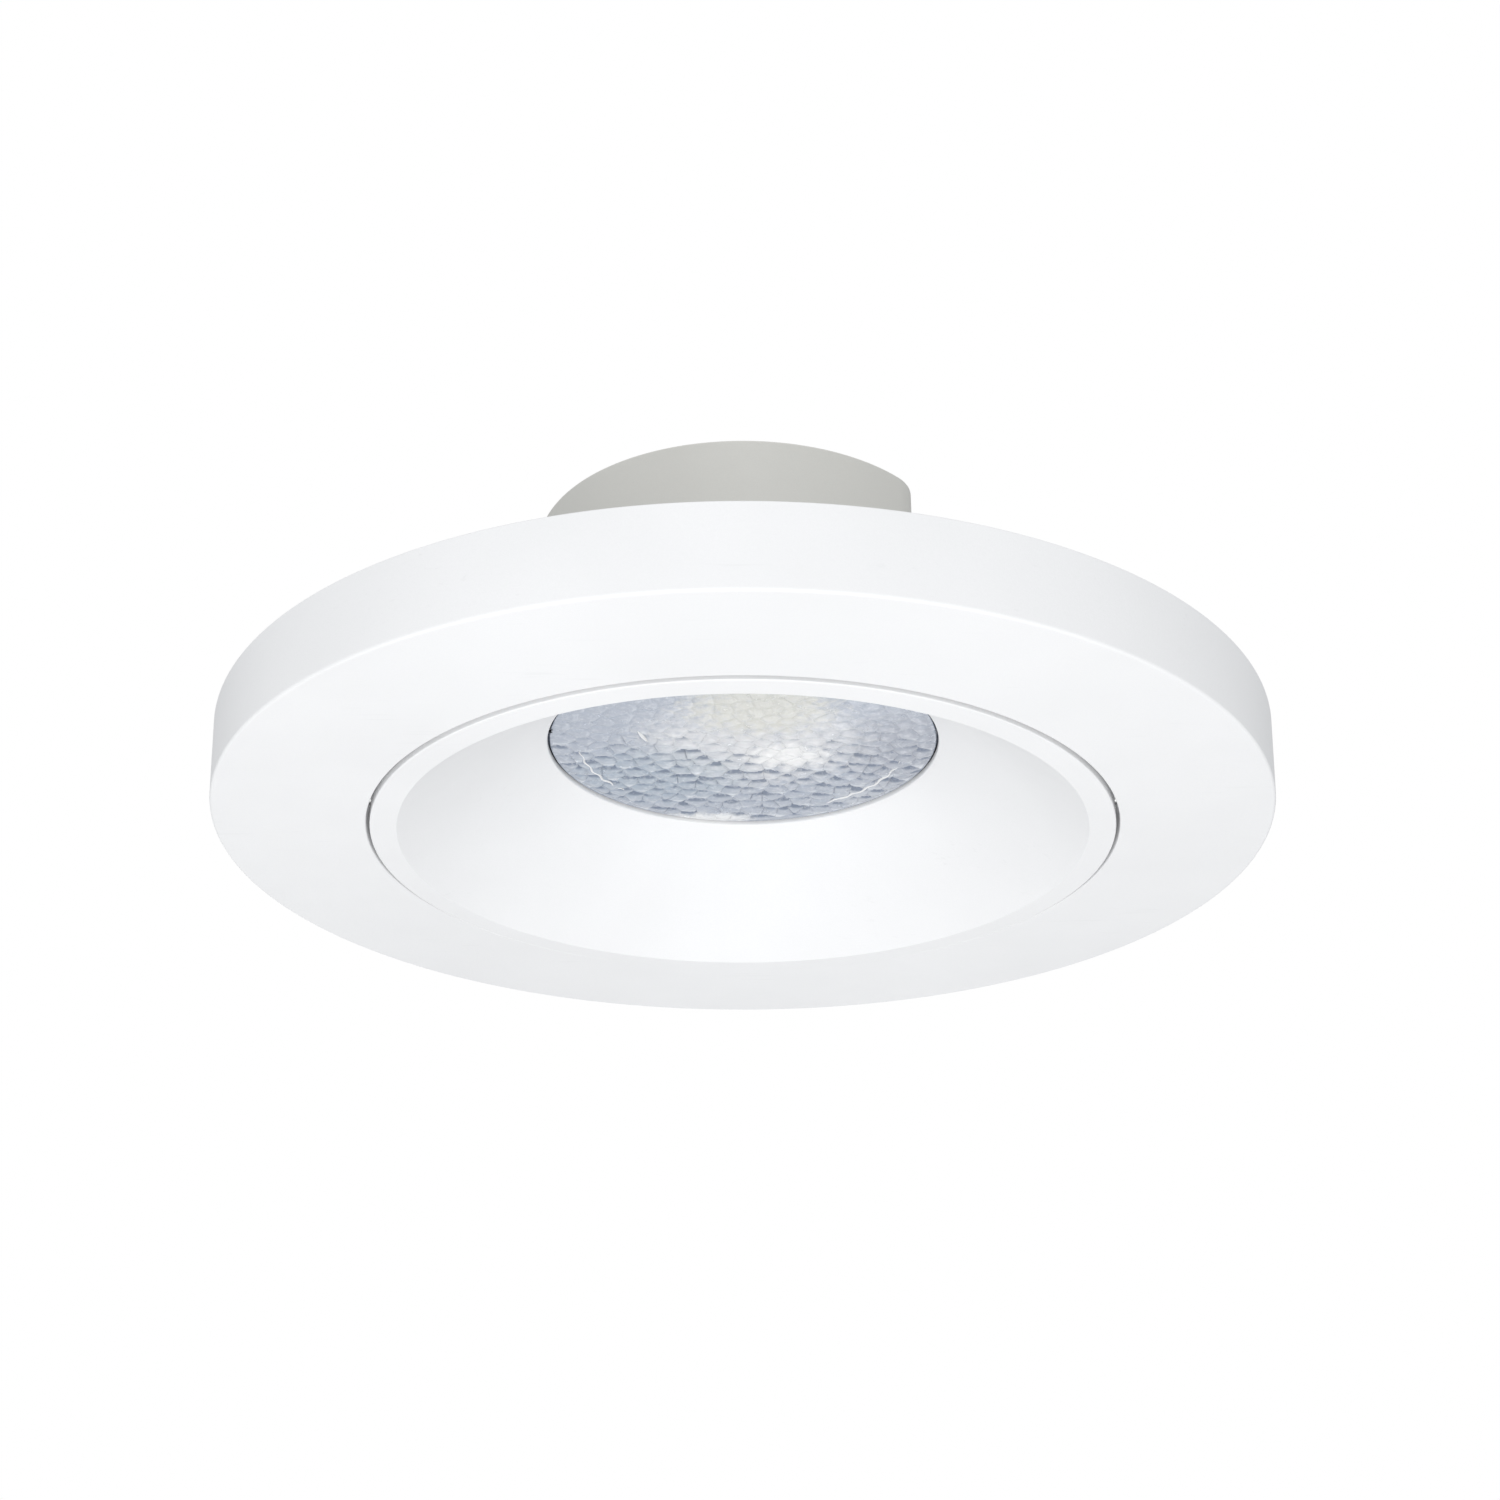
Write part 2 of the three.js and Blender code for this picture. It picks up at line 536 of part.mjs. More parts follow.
// ---------- LED board and holder ----------
const HOLDER_R = 15.5;
const HOLDER_Z = OPTIC_TOP_Z + RUN_GAP;
const HOLDER_TOP_Z = HOLDER_Z + 2.4;
const POCKET_Z = HOLDER_Z + 1;
const BOARD_SIDE = 19;
const COB_Z = POCKET_Z + PRESS_GAP;
const COB_TOP_Z = COB_Z + 1.1;
const HOLDER_OPENING_R = 8;
const PHOSPHOR_R = 5.6;
const PHOSPHOR_DEPTH = 0.65;
const PHOSPHOR_Z = COB_Z - 0.05;
const HOLDER_SCREW_X = 12.7;
const HOLDER_SCREW = { headR: 1.6, headHeight: 1, length: 3.2 };
const HOLDER_SCREW_Z = HOLDER_Z + 1.1;
const holderScrewXs = [-HOLDER_SCREW_X, HOLDER_SCREW_X];
const SINK_BASE_Z = 16.6;

function cobHolder() {
  const low = HOLDER_Z - OVERCUT;
  const high = HOLDER_TOP_Z + OVERCUT;
  const opening = disc(HOLDER_OPENING_R, low, high, MEDIUM);
  const pocketSide = BOARD_SIDE + 2 * RUN_GAP;
  const pocket = block(pocketSide, pocketSide, POCKET_Z, high);
  const removed = [opening, pocket];
  const recessR = HOLDER_SCREW.headR + RUN_GAP;
  const recessTop = HOLDER_SCREW_Z + PRESS_GAP;
  for (const x of holderScrewXs) {
    removed.push(disc(SHANK_HOLE_R, low, high, SMALL).translate(x, 0, 0));
    removed.push(disc(recessR, low, recessTop, SMALL).translate(x, 0, 0));
  }
  return shaped(disc(HOLDER_R, HOLDER_Z, HOLDER_TOP_Z, MEDIUM), [], removed);
}
place(lamp, 'cob_holder', cobHolder(), whitePlastic);
place(lamp, 'cob_board', block(BOARD_SIDE, BOARD_SIDE, COB_Z, COB_TOP_Z), castAluminium);

// The shallow dome of phosphor under the board.
const phosphorDome = turned([
  [0, PHOSPHOR_Z - PHOSPHOR_DEPTH], [PHOSPHOR_R - 1, PHOSPHOR_Z - PHOSPHOR_DEPTH + 0.15],
  [PHOSPHOR_R, PHOSPHOR_Z - 0.05], [PHOSPHOR_R, PHOSPHOR_Z], [0, PHOSPHOR_Z],
], MEDIUM);
place(lamp, 'cob_phosphor', phosphorDome, phosphor);
place(lamp, 'thermal_pad',
  block(BOARD_SIDE, BOARD_SIDE, COB_TOP_Z + PRESS_GAP, SINK_BASE_Z - PRESS_GAP), padGrey);

holderScrewXs.forEach((x, k) => {
  const fastener = place(lamp, `holder_screw_${k + 1}`, screw(HOLDER_SCREW), steel);
  fastener.rotation.x = Math.PI;
  fastener.position.set(x, 0, HOLDER_SCREW_Z);
});

// ---------- heat sink ----------
const SINK_Z = FLANGE_TOP_Z + RUN_GAP;
const SINK_SKIRT_IN_R = LENS_R + 0.6;
const FIN_R = 33;
const FIN_COUNT = 24;
const FIN_THICK = 1.4;
const FIN_Z = SINK_Z + 0.5;
const FIN_TOP_Z = 16;
const FIRST_FIN_DEG = 180 / FIN_COUNT;
const SINK_BOSS_TOP_Z = SINK_Z + 7;
const SINK_SCREW_DEPTH = 2;
const LEAD_HOLE_Y = 19;
const LEAD_HOLE_R = 2;
const HOUSING_SCREW_R = 16;
const housingScrewDegs = [0, 140, 220];

function heatSink() {
  const cup = turned([
    [0, SINK_BASE_Z], [SINK_SKIRT_IN_R, SINK_BASE_Z], [SINK_SKIRT_IN_R, SINK_Z],
    [SINK_R, SINK_Z], [SINK_R, SINK_TOP], [0, SINK_TOP],
  ], ROUND);
  const added = [];
  const finLength = FIN_R - SINK_R + ROOT;
  for (let k = 0; k < FIN_COUNT; k += 1) {
    const fin = block(finLength, FIN_THICK, FIN_Z, FIN_TOP_Z, FIN_R - finLength / 2);
    added.push(atAngle(fin, FIRST_FIN_DEG + (k * 360) / FIN_COUNT));
  }
  const low = SINK_BASE_Z - OVERCUT;
  const high = SINK_TOP + OVERCUT;
  const removed = [disc(LEAD_HOLE_R, low, high, SMALL).translate(0, LEAD_HOLE_Y, 0)];
  for (const deg of coneScrewDegs) {
    const at = [...polar(CONE_SCREW_R, deg), 0];
    added.push(disc(BOSS_R, SINK_Z, SINK_BOSS_TOP_Z, SMALL).translate(...at));
    removed.push(disc(SHANK_HOLE_R, SINK_Z - OVERCUT, SINK_BOSS_TOP_Z - 1, SMALL).translate(...at));
  }
  for (const x of holderScrewXs) {
    removed.push(disc(SHANK_HOLE_R, low, SINK_BASE_Z + SINK_SCREW_DEPTH, SMALL).translate(x, 0, 0));
  }
  for (const deg of housingScrewDegs) {
    const at = [...polar(HOUSING_SCREW_R, deg), 0];
    removed.push(disc(SHANK_HOLE_R, SINK_TOP - SINK_SCREW_DEPTH, high, SMALL).translate(...at));
  }
  return shaped(cup, added, removed);
}
place(lamp, 'heat_sink', heatSink(), castAluminium);

// ---------- driver housing ----------
const CAN_Z = SINK_TOP + RUN_GAP;
const CAN_FLOOR_Z = CAN_Z + 1.3;
const COVER_Z = CAN_TOP - 2;
const COVER_TOP_Z = CAN_TOP - 0.2;
const POST_R = 2.8;             // cover posts, joined to the wall
const POST_AT_R = 23;
const POST_TOP_Z = COVER_Z - PRESS_GAP;
const POST_SCREW_DEPTH = 6;
const STANDOFF_R = 2.2;
const INLET_Z = 25.6;
const INLET_HOLE_R = 4.2;
const INLET_BORE_R = 3.05;
const PCB_Z = 23;
const PCB_TOP_Z = PCB_Z + 1.2;
const STANDOFF_TOP_Z = PCB_Z - PRESS_GAP;
const HOUSING_SCREW = { headR: 1.7, headHeight: 1, length: 3 };
const postDegs = [60, 180, 300];
const standoffs = [[0, -20], [-9.5, 17.5]];

function driverHousing() {
  const added = [];
  const low = CAN_Z - OVERCUT;
  const footZ = CAN_FLOOR_Z - ROOT / 2;
  const removed = [
    disc(LEAD_HOLE_R, low, CAN_FLOOR_Z + OVERCUT, SMALL).translate(0, LEAD_HOLE_Y, 0),
    alongX(disc(INLET_HOLE_R, CAN_FLAT_X - 2 * CAN_WALL, CAN_FLAT_X + OVERCUT, FINE), INLET_Z),
  ];
  for (const deg of postDegs) {
    const at = [...polar(POST_AT_R, deg), 0];
    const holeZ = POST_TOP_Z - POST_SCREW_DEPTH;
    added.push(disc(POST_R, footZ, POST_TOP_Z, SMALL).translate(...at));
    removed.push(disc(SHANK_HOLE_R, holeZ, POST_TOP_Z + OVERCUT, SMALL).translate(...at));
  }
  for (const [x, y] of standoffs) {
    added.push(disc(STANDOFF_R, footZ, STANDOFF_TOP_Z, SMALL).translate(x, y, 0));
    removed.push(disc(SHANK_HOLE_R, footZ, STANDOFF_TOP_Z + OVERCUT, SMALL).translate(x, y, 0));
  }
  for (const deg of housingScrewDegs) {
    const at = [...polar(HOUSING_SCREW_R, deg), 0];
    removed.push(disc(SHANK_HOLE_R, low, CAN_FLOOR_Z + OVERCUT, SMALL).translate(...at));
  }
  const inside = canPrism(CAN_WALL, CAN_FLOOR_Z, CAN_TOP + OVERCUT);
  const shell = shaped(canPrism(0, CAN_Z, CAN_TOP), [], [inside]);
  return shaped(shell, added, removed);
}
place(lamp, 'driver_housing', driverHousing(), greyPaint);

housingScrewDegs.forEach((deg, k) => {
  const fastener = place(lamp, `housing_screw_${k + 1}`, screw(HOUSING_SCREW), steel);
  fastener.position.set(...polar(HOUSING_SCREW_R, deg), CAN_FLOOR_Z + PRESS_GAP);
});

const GROMMET_GAP = 0.15;
const GROMMET_NECK_R = INLET_HOLE_R - GROMMET_GAP;
const GROMMET_IN_R = 4.4;
const GROMMET_OUT_R = 5.5;
const GROMMET_IN_THICK = 1.2;
const GROMMET_OUT_THICK = 1.5;

function inletGrommet() {
  const inside = CAN_FLAT_X - CAN_WALL - GROMMET_GAP;
  const outside = CAN_FLAT_X + GROMMET_GAP;
  return alongX(turned([
    [INLET_BORE_R, inside - GROMMET_IN_THICK], [GROMMET_IN_R - FINE_EDGE, inside - GROMMET_IN_THICK],
    [GROMMET_IN_R, inside], [GROMMET_NECK_R, inside],
    [GROMMET_NECK_R, outside], [GROMMET_OUT_R, outside],
    [GROMMET_OUT_R - EDGE, outside + GROMMET_OUT_THICK], [INLET_BORE_R, outside + GROMMET_OUT_THICK],
  ], FINE), INLET_Z);
}
place(lamp, 'inlet_grommet', inletGrommet(), blackRubber);

// ---------- rear cover ----------
const COVER_GAP = 0.15;
const COVER_RECESS = 1;
const COVER_SCREW = { headR: 1.7, headHeight: 0.8, length: 5 };

function rearCover() {
  const removed = [];
  const recessR = COVER_SCREW.headR + RUN_GAP;
  const high = COVER_TOP_Z + OVERCUT;
  for (const deg of postDegs) {
    const at = [...polar(POST_AT_R, deg), 0];
    removed.push(disc(SHANK_HOLE_R, COVER_Z - OVERCUT, high, SMALL).translate(...at));
    removed.push(disc(recessR, COVER_TOP_Z - COVER_RECESS, high, SMALL).translate(...at));
  }
  return shaped(canPrism(CAN_WALL + COVER_GAP, COVER_Z, COVER_TOP_Z), [], removed);
}
place(lamp, 'rear_cover', rearCover(), greyPaint);

postDegs.forEach((deg, k) => {
  const fastener = place(lamp, `cover_screw_${k + 1}`, crossScrew(COVER_SCREW), steel);
  fastener.position.set(...polar(POST_AT_R, deg), COVER_TOP_Z - COVER_RECESS + PRESS_GAP);
});

// ---------- LED driver ----------
const PART_Z = PCB_TOP_Z + PRESS_GAP;
const BOARD_GAP = 0.5;
const BOARD_NOTCH_DEPTH = 5;
const BOARD_NOTCH_WIDTH = 10;
const BOARD_SCREW = { headR: 1.6, headHeight: 1, length: 3 };

// The board has round notches for the cover posts and a square one for the grommet.
function circuitBoard() {
  const low = PCB_Z - OVERCUT;
  const high = PCB_TOP_Z + OVERCUT;
  const removed = postDegs.map((deg) => (
    disc(POST_R + RUN_GAP, low, high, SMALL).translate(...polar(POST_AT_R, deg), 0)));
  for (const [x, y] of standoffs) {
    removed.push(disc(SHANK_HOLE_R, low, high, SMALL).translate(x, y, 0));
  }
  removed.push(block(BOARD_NOTCH_DEPTH, BOARD_NOTCH_WIDTH, low, high, CAN_FLAT_X - CAN_WALL));
  return shaped(canPrism(CAN_WALL + BOARD_GAP, PCB_Z, PCB_TOP_Z), [], removed);
}
place(lamp, 'circuit_board', circuitBoard(), boardGreen);

standoffs.forEach(([x, y], k) => {
  const fastener = place(lamp, `board_screw_${k + 1}`, screw(BOARD_SCREW), steel);
  fastener.position.set(x, y, PART_Z);
});

const CHIP_FOOT = 0.3;
const LEG_WIDTH = 0.5;
const LEG_REACH = 1.1;
const LEG_HEIGHT = 0.7;

// A moulded chip with a row of legs along each of its two long sides.
function chip(length, width, height, legs) {
  const body = block(length, width, CHIP_FOOT, height);
  const added = [];
  for (let k = 0; k < legs; k += 1) {
    const x = ((k + 0.5) / legs - 0.5) * length;
    added.push(block(LEG_WIDTH, width + 2 * LEG_REACH, 0, LEG_HEIGHT, x));
  }
  return shaped(body, added, []);
}

const bridge = place(lamp, 'bridge_rectifier', chip(5, 4, 1.8, 2), chipBlack);
bridge.position.set(1.5, -9, PART_Z);
const driverChip = place(lamp, 'driver_chip', chip(5, 3.9, 1.6, 4), chipBlack);
driverChip.position.set(-9, 2.5, PART_Z);

const TERMINAL_X = 12.6;
const TERMINAL_LENGTH = 9;
const TERMINAL_WIDTH = 10;
const TERMINAL_HEIGHT = 5.4;
const TERMINAL_PITCH = 4.8;
const WIRE_ENTRY_R = 1.5;
const WIRE_ENTRY_DEPTH = 2;
const WIRE_ENTRY_HEIGHT = 2.2;
const TERMINAL_SCREW_R = 1.3;
const TERMINAL_SCREW_DEPTH = 1.4;

// Two wire entries face the inlet, and each has a screw well above it.
function terminalBlock() {
  const top = PART_Z + TERMINAL_HEIGHT;
  const entryX = TERMINAL_LENGTH / 2 - WIRE_ENTRY_DEPTH;
  const entry = disc(WIRE_ENTRY_R, entryX, TERMINAL_LENGTH, SMALL);
  const well = disc(TERMINAL_SCREW_R, top - TERMINAL_SCREW_DEPTH, top + OVERCUT, SMALL);
  const removed = [];
  for (const y of [-TERMINAL_PITCH / 2, TERMINAL_PITCH / 2]) {
    removed.push(alongX(entry.clone(), PART_Z + WIRE_ENTRY_HEIGHT).translate(0, y, 0));
    removed.push(well.clone().translate(0, y, 0));
  }
  return shaped(block(TERMINAL_LENGTH, TERMINAL_WIDTH, PART_Z, top), [], removed);
}

const terminal = place(lamp, 'terminal_block', terminalBlock(), whitePlastic);
terminal.position.x = TERMINAL_X;

const FILM_LENGTH = 8;
const FILM_WIDTH = 4.2;
const FILM_HEIGHT = 5.6;
const film = place(lamp, 'input_capacitor', block(FILM_LENGTH, FILM_WIDTH, 0, FILM_HEIGHT), filmYellow);
film.position.set(11, -13, PART_Z);

const CANISTER_R = 2.7;
const CANISTER_HALF_LENGTH = 5.5;
const CRIMP_R = 2.4;
const CRIMP_X = -3.65;
const CRIMP_HALF_WIDTH = 0.15;
const CRIMP_SHOULDER_HALF_WIDTH = 0.45;

// An electrolytic capacitor lying along X, with the crimp near its sealed end.
const canister = alongX(turned([
  [0, -CANISTER_HALF_LENGTH], [CANISTER_R, -CANISTER_HALF_LENGTH],
  [CANISTER_R, CRIMP_X - CRIMP_SHOULDER_HALF_WIDTH], [CRIMP_R, CRIMP_X - CRIMP_HALF_WIDTH],
  [CRIMP_R, CRIMP_X + CRIMP_HALF_WIDTH], [CANISTER_R, CRIMP_X + CRIMP_SHOULDER_HALF_WIDTH],
  [CANISTER_R, CANISTER_HALF_LENGTH], [0, CANISTER_HALF_LENGTH],
], FINE), CANISTER_R + 0.05);
const electrolytic = place(lamp, 'output_capacitor', canister, sleeveBlack);
electrolytic.position.set(-2, 9.5, PART_Z);

const SPOOL_R = 5.4;
const SPOOL_HEIGHT = 5.4;
const SPOOL_FLANGE = 1;
const SPOOL_CORE_R = 2.8;
const WINDING_R = 4.8;
const SPOOL_X = -10;
const SPOOL_Y = -9.5;

const spool = turned([
  [0, 0], [SPOOL_R, 0], [SPOOL_R, SPOOL_FLANGE], [SPOOL_CORE_R, SPOOL_FLANGE],
  [SPOOL_CORE_R, SPOOL_HEIGHT - SPOOL_FLANGE], [SPOOL_R, SPOOL_HEIGHT - SPOOL_FLANGE],
  [SPOOL_R, SPOOL_HEIGHT], [0, SPOOL_HEIGHT],
], FINE).translate(SPOOL_X, SPOOL_Y, PART_Z);
place(lamp, 'inductor_core', spool, ferrite);

const winding = washer(SPOOL_CORE_R + PRESS_GAP, WINDING_R, SPOOL_FLANGE + PRESS_GAP,
  SPOOL_HEIGHT - SPOOL_FLANGE - PRESS_GAP, FINE).translate(SPOOL_X, SPOOL_Y, PART_Z);
place(lamp, 'inductor_winding', winding, copper);

const CAP_R = 1.5;
const CAP_CREST_R = 1.3;
const BARREL_R = 1.25;
const RESISTOR_HALF_LENGTH = 3.6;
const CAP_WIDTH = 1.4;

// A fusible resistor lying along X: a barrel between two end caps.
const capX = RESISTOR_HALF_LENGTH - CAP_WIDTH;
const shoulder = 0.3;
const barrel = alongX(turned([
  [0, -RESISTOR_HALF_LENGTH], [CAP_CREST_R, -RESISTOR_HALF_LENGTH],
  [CAP_R, shoulder - RESISTOR_HALF_LENGTH], [CAP_R, -capX], [BARREL_R, shoulder - capX],
  [BARREL_R, capX - shoulder], [CAP_R, capX], [CAP_R, RESISTOR_HALF_LENGTH - shoulder],
  [CAP_CREST_R, RESISTOR_HALF_LENGTH], [0, RESISTOR_HALF_LENGTH],
], SMALL), CAP_R + PRESS_GAP);
const fuse = place(lamp, 'fuse_resistor', barrel, resistorBlue);
fuse.position.set(11, 11.5, PART_Z);

// ---------- leads from the driver down to the LED board ----------
const LEAD_R = 0.6;
const LEAD_X = 0.85;
const LEAD_STEPS = 14;

// Each lead rises from the board's edge, bends, then goes up through the holes to the circuit board.
function lead(side) {
  const topZ = PCB_Z - PRESS_GAP;
  const endY = HOLDER_R + 0.7;
  const route = [
    [LEAD_X + 0.75, endY, 15.2], [LEAD_X + 0.55, endY + 1.2, 15.3], [LEAD_X + 0.05, endY + 2.5, 15.9],
    [LEAD_X, LEAD_HOLE_Y, 17.4], [LEAD_X, LEAD_HOLE_Y, topZ],
  ];
  return tube(route.map(([x, y, z]) => [x * side, y, z]), LEAD_R, LEAD_STEPS);
}
place(lamp, 'lead_positive', lead(1), redInsulation);
place(lamp, 'lead_negative', lead(-1), blackInsulation);

export default downlight;
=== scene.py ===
# The looks of a round adjustable LED ceiling downlight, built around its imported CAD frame.
# Outlines are written in millimetres as [radius, height] and become metres when a mesh is made.
import json
import math

import bmesh
import bpy
from mathutils import Matrix, Vector, geometry, noise


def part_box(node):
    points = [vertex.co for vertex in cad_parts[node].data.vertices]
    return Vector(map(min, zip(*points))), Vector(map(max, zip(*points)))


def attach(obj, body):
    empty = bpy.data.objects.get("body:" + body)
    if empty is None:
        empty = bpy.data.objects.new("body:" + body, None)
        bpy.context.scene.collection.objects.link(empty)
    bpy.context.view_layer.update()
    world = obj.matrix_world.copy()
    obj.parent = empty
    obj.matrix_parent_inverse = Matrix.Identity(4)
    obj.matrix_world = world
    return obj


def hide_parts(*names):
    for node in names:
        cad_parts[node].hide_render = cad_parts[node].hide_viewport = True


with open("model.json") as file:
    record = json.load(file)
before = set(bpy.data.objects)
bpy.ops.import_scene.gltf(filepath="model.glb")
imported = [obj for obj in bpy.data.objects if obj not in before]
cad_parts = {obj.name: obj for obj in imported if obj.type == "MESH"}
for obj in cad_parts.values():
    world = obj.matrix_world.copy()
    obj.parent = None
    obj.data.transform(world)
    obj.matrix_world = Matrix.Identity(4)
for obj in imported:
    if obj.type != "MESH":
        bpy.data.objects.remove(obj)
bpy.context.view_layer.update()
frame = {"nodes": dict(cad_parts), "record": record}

MM = 0.001


# --- sizes read from the frame, in millimetres ---
def box_mm(node):
    low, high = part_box(node)
    return low / MM, high / MM


trim_low, trim_high = box_mm("trim_ring")
cone_low, cone_high = box_mm("reflector_cone")
lens_low, lens_high = box_mm("lens")
seal_low, seal_high = box_mm("lens_seal")
optic_low, optic_high = box_mm("optic_reflector")
phosphor_low, phosphor_high = box_mm("cob_phosphor")
sink_low, sink_high = box_mm("heat_sink")
can_low, can_high = box_mm("driver_housing")
cover_low, cover_high = box_mm("rear_cover")
plate_low, plate_high = box_mm("mounting_plate")
gasket_low, gasket_high = box_mm("ceiling_gasket")
pan_low = box_mm("pan_ring")[0]
clip_low, clip_high = box_mm("retaining_clip_1")
grommet_low, grommet_high = box_mm("inlet_grommet")
pin_low, pin_high = box_mm("pivot_pin_right")
washer_low, washer_high = box_mm("pivot_washer_right")
pin_clip_low, pin_clip_high = box_mm("pivot_clip_right")
board_low = box_mm("circuit_board")[0]

TRIM_BACK_R = trim_high.x
FACE_Z = trim_low.z
LIP_R = cone_high.x
LIP_Z = cone_low.z
LENS_R = lens_high.x
SINK_Z = sink_low.z
SINK_TOP = sink_high.z
CAN_R = can_high.y
CAN_FLAT_X = can_high.x
CAN_Z = can_low.z
CAN_TOP = can_high.z
PLATE_OUT_R = plate_high.y
PLATE_FOOT_Z = plate_low.z
PAN_Z = pan_low.z
PIVOT_Z = (pin_low.z + pin_high.z) / 2

# --- sizes that the boxes do not give, in millimetres ---
TRIM_R = 65.0
TRIM_HOLE_R = 46.5
FACE_THICK = 2.5
WALL_THICK = 2.6
HUB_THICK = 1.4
HUB_TOP_Z = -5.8
EDGE = 0.4
FINE_EDGE = 0.2
LIP_THICK = 3.0
MOUTH_R = 42.8
APERTURE_R = 24.85
APERTURE_RISE = 13.4
CONE_WALL = 1.5
CONE_FLANGE_R = 34.3
FLANGE_THICK = 3.6
CONE_SCREW_R = 32.0
LAMP_EAR_IN_R = 43.2
LAMP_EAR_OUT_R = 45.4
EAR_HALF_WIDTH = 4.5
EAR_CORNER_R = 2.0
EAR_TOP_Z = -2.3
PLATE_THICK = 1.2
PLATE_IN_R = 48.5
SLOT_LENGTH = 10.0
SLOT_WIDTH = 5.0
HOOK_HALF_DEG = 6
LUG_HALF_DEG = 10
LUG_STOP_HALF_DEG = 1.2
LUG_TOP_Z = -0.8
PAN_FLANGE_R = 55.0
PAN_THICK = 1.5
PAN_STOP_HALF_DEG = 2
CLIP_SCREW_R = 59.6
CLIP_TIP_R = 52.2
CLIP_END_R = 62.0
CLIP_WIDTH = 8.0
CLIP_THICK = 1.0
BOSS_R = 2.3
SCREW_HOLE_R = 0.9
PIN_HOLE_R = 1.3
SINK_R = 30.0
FIN_R = 33.0
FIN_COUNT = 24
FIN_THICK = 1.4
FIN_TOP_Z = 16.0
LEAD_HOLE_Y = 19.0
LEAD_HOLE_R = 2.0
HOUSING_SCREW_R = 16.0
CAN_CORNER_R = 6.5
CAN_WALL = 1.5
CAN_FLOOR = 1.3
POST_R = 2.8
POST_AT_R = 23.0
STANDOFF_R = 2.2
INLET_Z = 25.6
INLET_HOLE_R = 4.2
RUN_GAP = 0.3
PRESS_GAP = 0.1
SHANK_R = 0.8
CELL_COUNT = 330
CELL_RISE = 0.3
GROOVE_REACH = 1.3
GROOVE_Z = -1.0
GASKET_WIDTH = 1.2
LUG_CLEARANCE = 1.0
LUG_LIFT = 0.4
PAN_STOP_REACH = 2.6
PAN_TAB_REACH = 1.8
WINDOW_MARGIN = 2.2
CLIP_HOLE_R = 1.0
CLIP_RIB_WIDTH = 1.2
COVER_RECESS_R = 2.0
COVER_SCREW_SINK = 0.9
GROMMET_BORE_R = 3.05
GROMMET_RIM_R = 5.5
OPTIC_MOUTH_R = 24.2
OPTIC_THROAT_R = 7.4
OPTIC_WALL = 0.8
SINK_BASE_THICK = 2.8
SINK_BOSS_HEIGHT = 7.0
FIN_PHASE_DEG = 7.5

# --- roundings and overlaps, in millimetres ---
TINY_EDGE = 0.1
SHEET_EDGE = 0.15
SHEET_EDGES = (SHEET_EDGE, SHEET_EDGE)
SOFT_EDGE = 0.2
ROUND_EDGE = 0.3
CAST_FILLET = 0.5
CONE_FILLET = 0.6
HAIR = 0.02
MERGE = 0.5
OVERCUT = 1.0
SHARP_DEG = 32
CELL_SEED = 16

TRIM_BACK_Z = FACE_Z + FACE_THICK
TRIM_WALL_IN_R = TRIM_R - WALL_THICK
HUB_R = TRIM_HOLE_R + HUB_THICK
PAN_TOP_Z = PAN_Z + PAN_THICK
APERTURE_Z = FACE_Z + APERTURE_RISE
FLANGE_Z = APERTURE_Z - 0.2
FLANGE_TOP_Z = FLANGE_Z + FLANGE_THICK
HOOK_DEGS = (30, 150, 270)
CLIP_DEGS = (90, 210, 330)
POST_DEGS = (60, 180, 300)
HOUSING_SCREW_DEGS = (0, 140, 220)
STANDOFFS = ((0, -20), (-9.5, 17.5))
SIDES = {"right": 0, "left": 180}

# --- facet counts ---
RING = 240
ROUND = 120
SMALL = 48
ARC = 4


# --- outlines ---
def filleted(corners, steps=ARC):
    """A closed outline whose corners may carry a third value, the radius that rounds them off."""
    points = []
    for k, corner in enumerate(corners):
        here = Vector(corner[:2])
        radius = corner[2] if len(corner) > 2 else 0
        if radius == 0:
            points.append(here)
            continue
        before = (Vector(corners[k - 1][:2]) - here).normalized()
        after = (Vector(corners[(k + 1) % len(corners)][:2]) - here).normalized()
        half = before.angle(after) / 2
        centre = here + (before + after).normalized() * radius / math.sin(half)
        start = (here + before * radius / math.tan(half) - centre).normalized()
        end = (here + after * radius / math.tan(half) - centre).normalized()
        for step in range(steps + 1):
            points.append(centre + start.slerp(end, step / steps) * radius)
    return points


def circle(radius, count=RING):
    turn = 2 * math.pi / count
    return [Vector((radius * math.cos(k * turn), radius * math.sin(k * turn))) for k in range(count)]


def arc(radius, start, end, steps, centre=(0, 0)):
    angles = [start + (end - start) * k / steps for k in range(steps + 1)]
    return [Vector((centre[0] + radius * math.cos(a), centre[1] + radius * math.sin(a))) for a in angles]


def can_outline(radius):
    """The driver housing's outline at a wall line: an arc, a flat on +X and two round corners."""
    inset = CAN_R - radius
    least_corner = 1
    corner = max(CAN_CORNER_R - inset, least_corner)
    x = CAN_FLAT_X - inset - corner
    y = math.sqrt((radius - corner) ** 2 - x ** 2)
    meet = math.atan2(y, x)
    corner_steps = 10
    points = arc(radius, meet, 2 * math.pi - meet, ROUND)
    points += arc(corner, -meet, 0, corner_steps, (x, -y))[1:]
    points += arc(corner, 0, meet, corner_steps, (x, y))[:-1]
    return points


def rounded_rect(length, width, radius, x=0, steps=6):
    dx, dy = length / 2 - radius, width / 2 - radius
    quarter = math.pi / 2
    points = []
    for k, (sx, sy) in enumerate([(1, -1), (1, 1), (-1, 1), (-1, -1)]):
        points += arc(radius, (k - 1) * quarter, k * quarter, steps, (x + sx * dx, sy * dy))
    return points


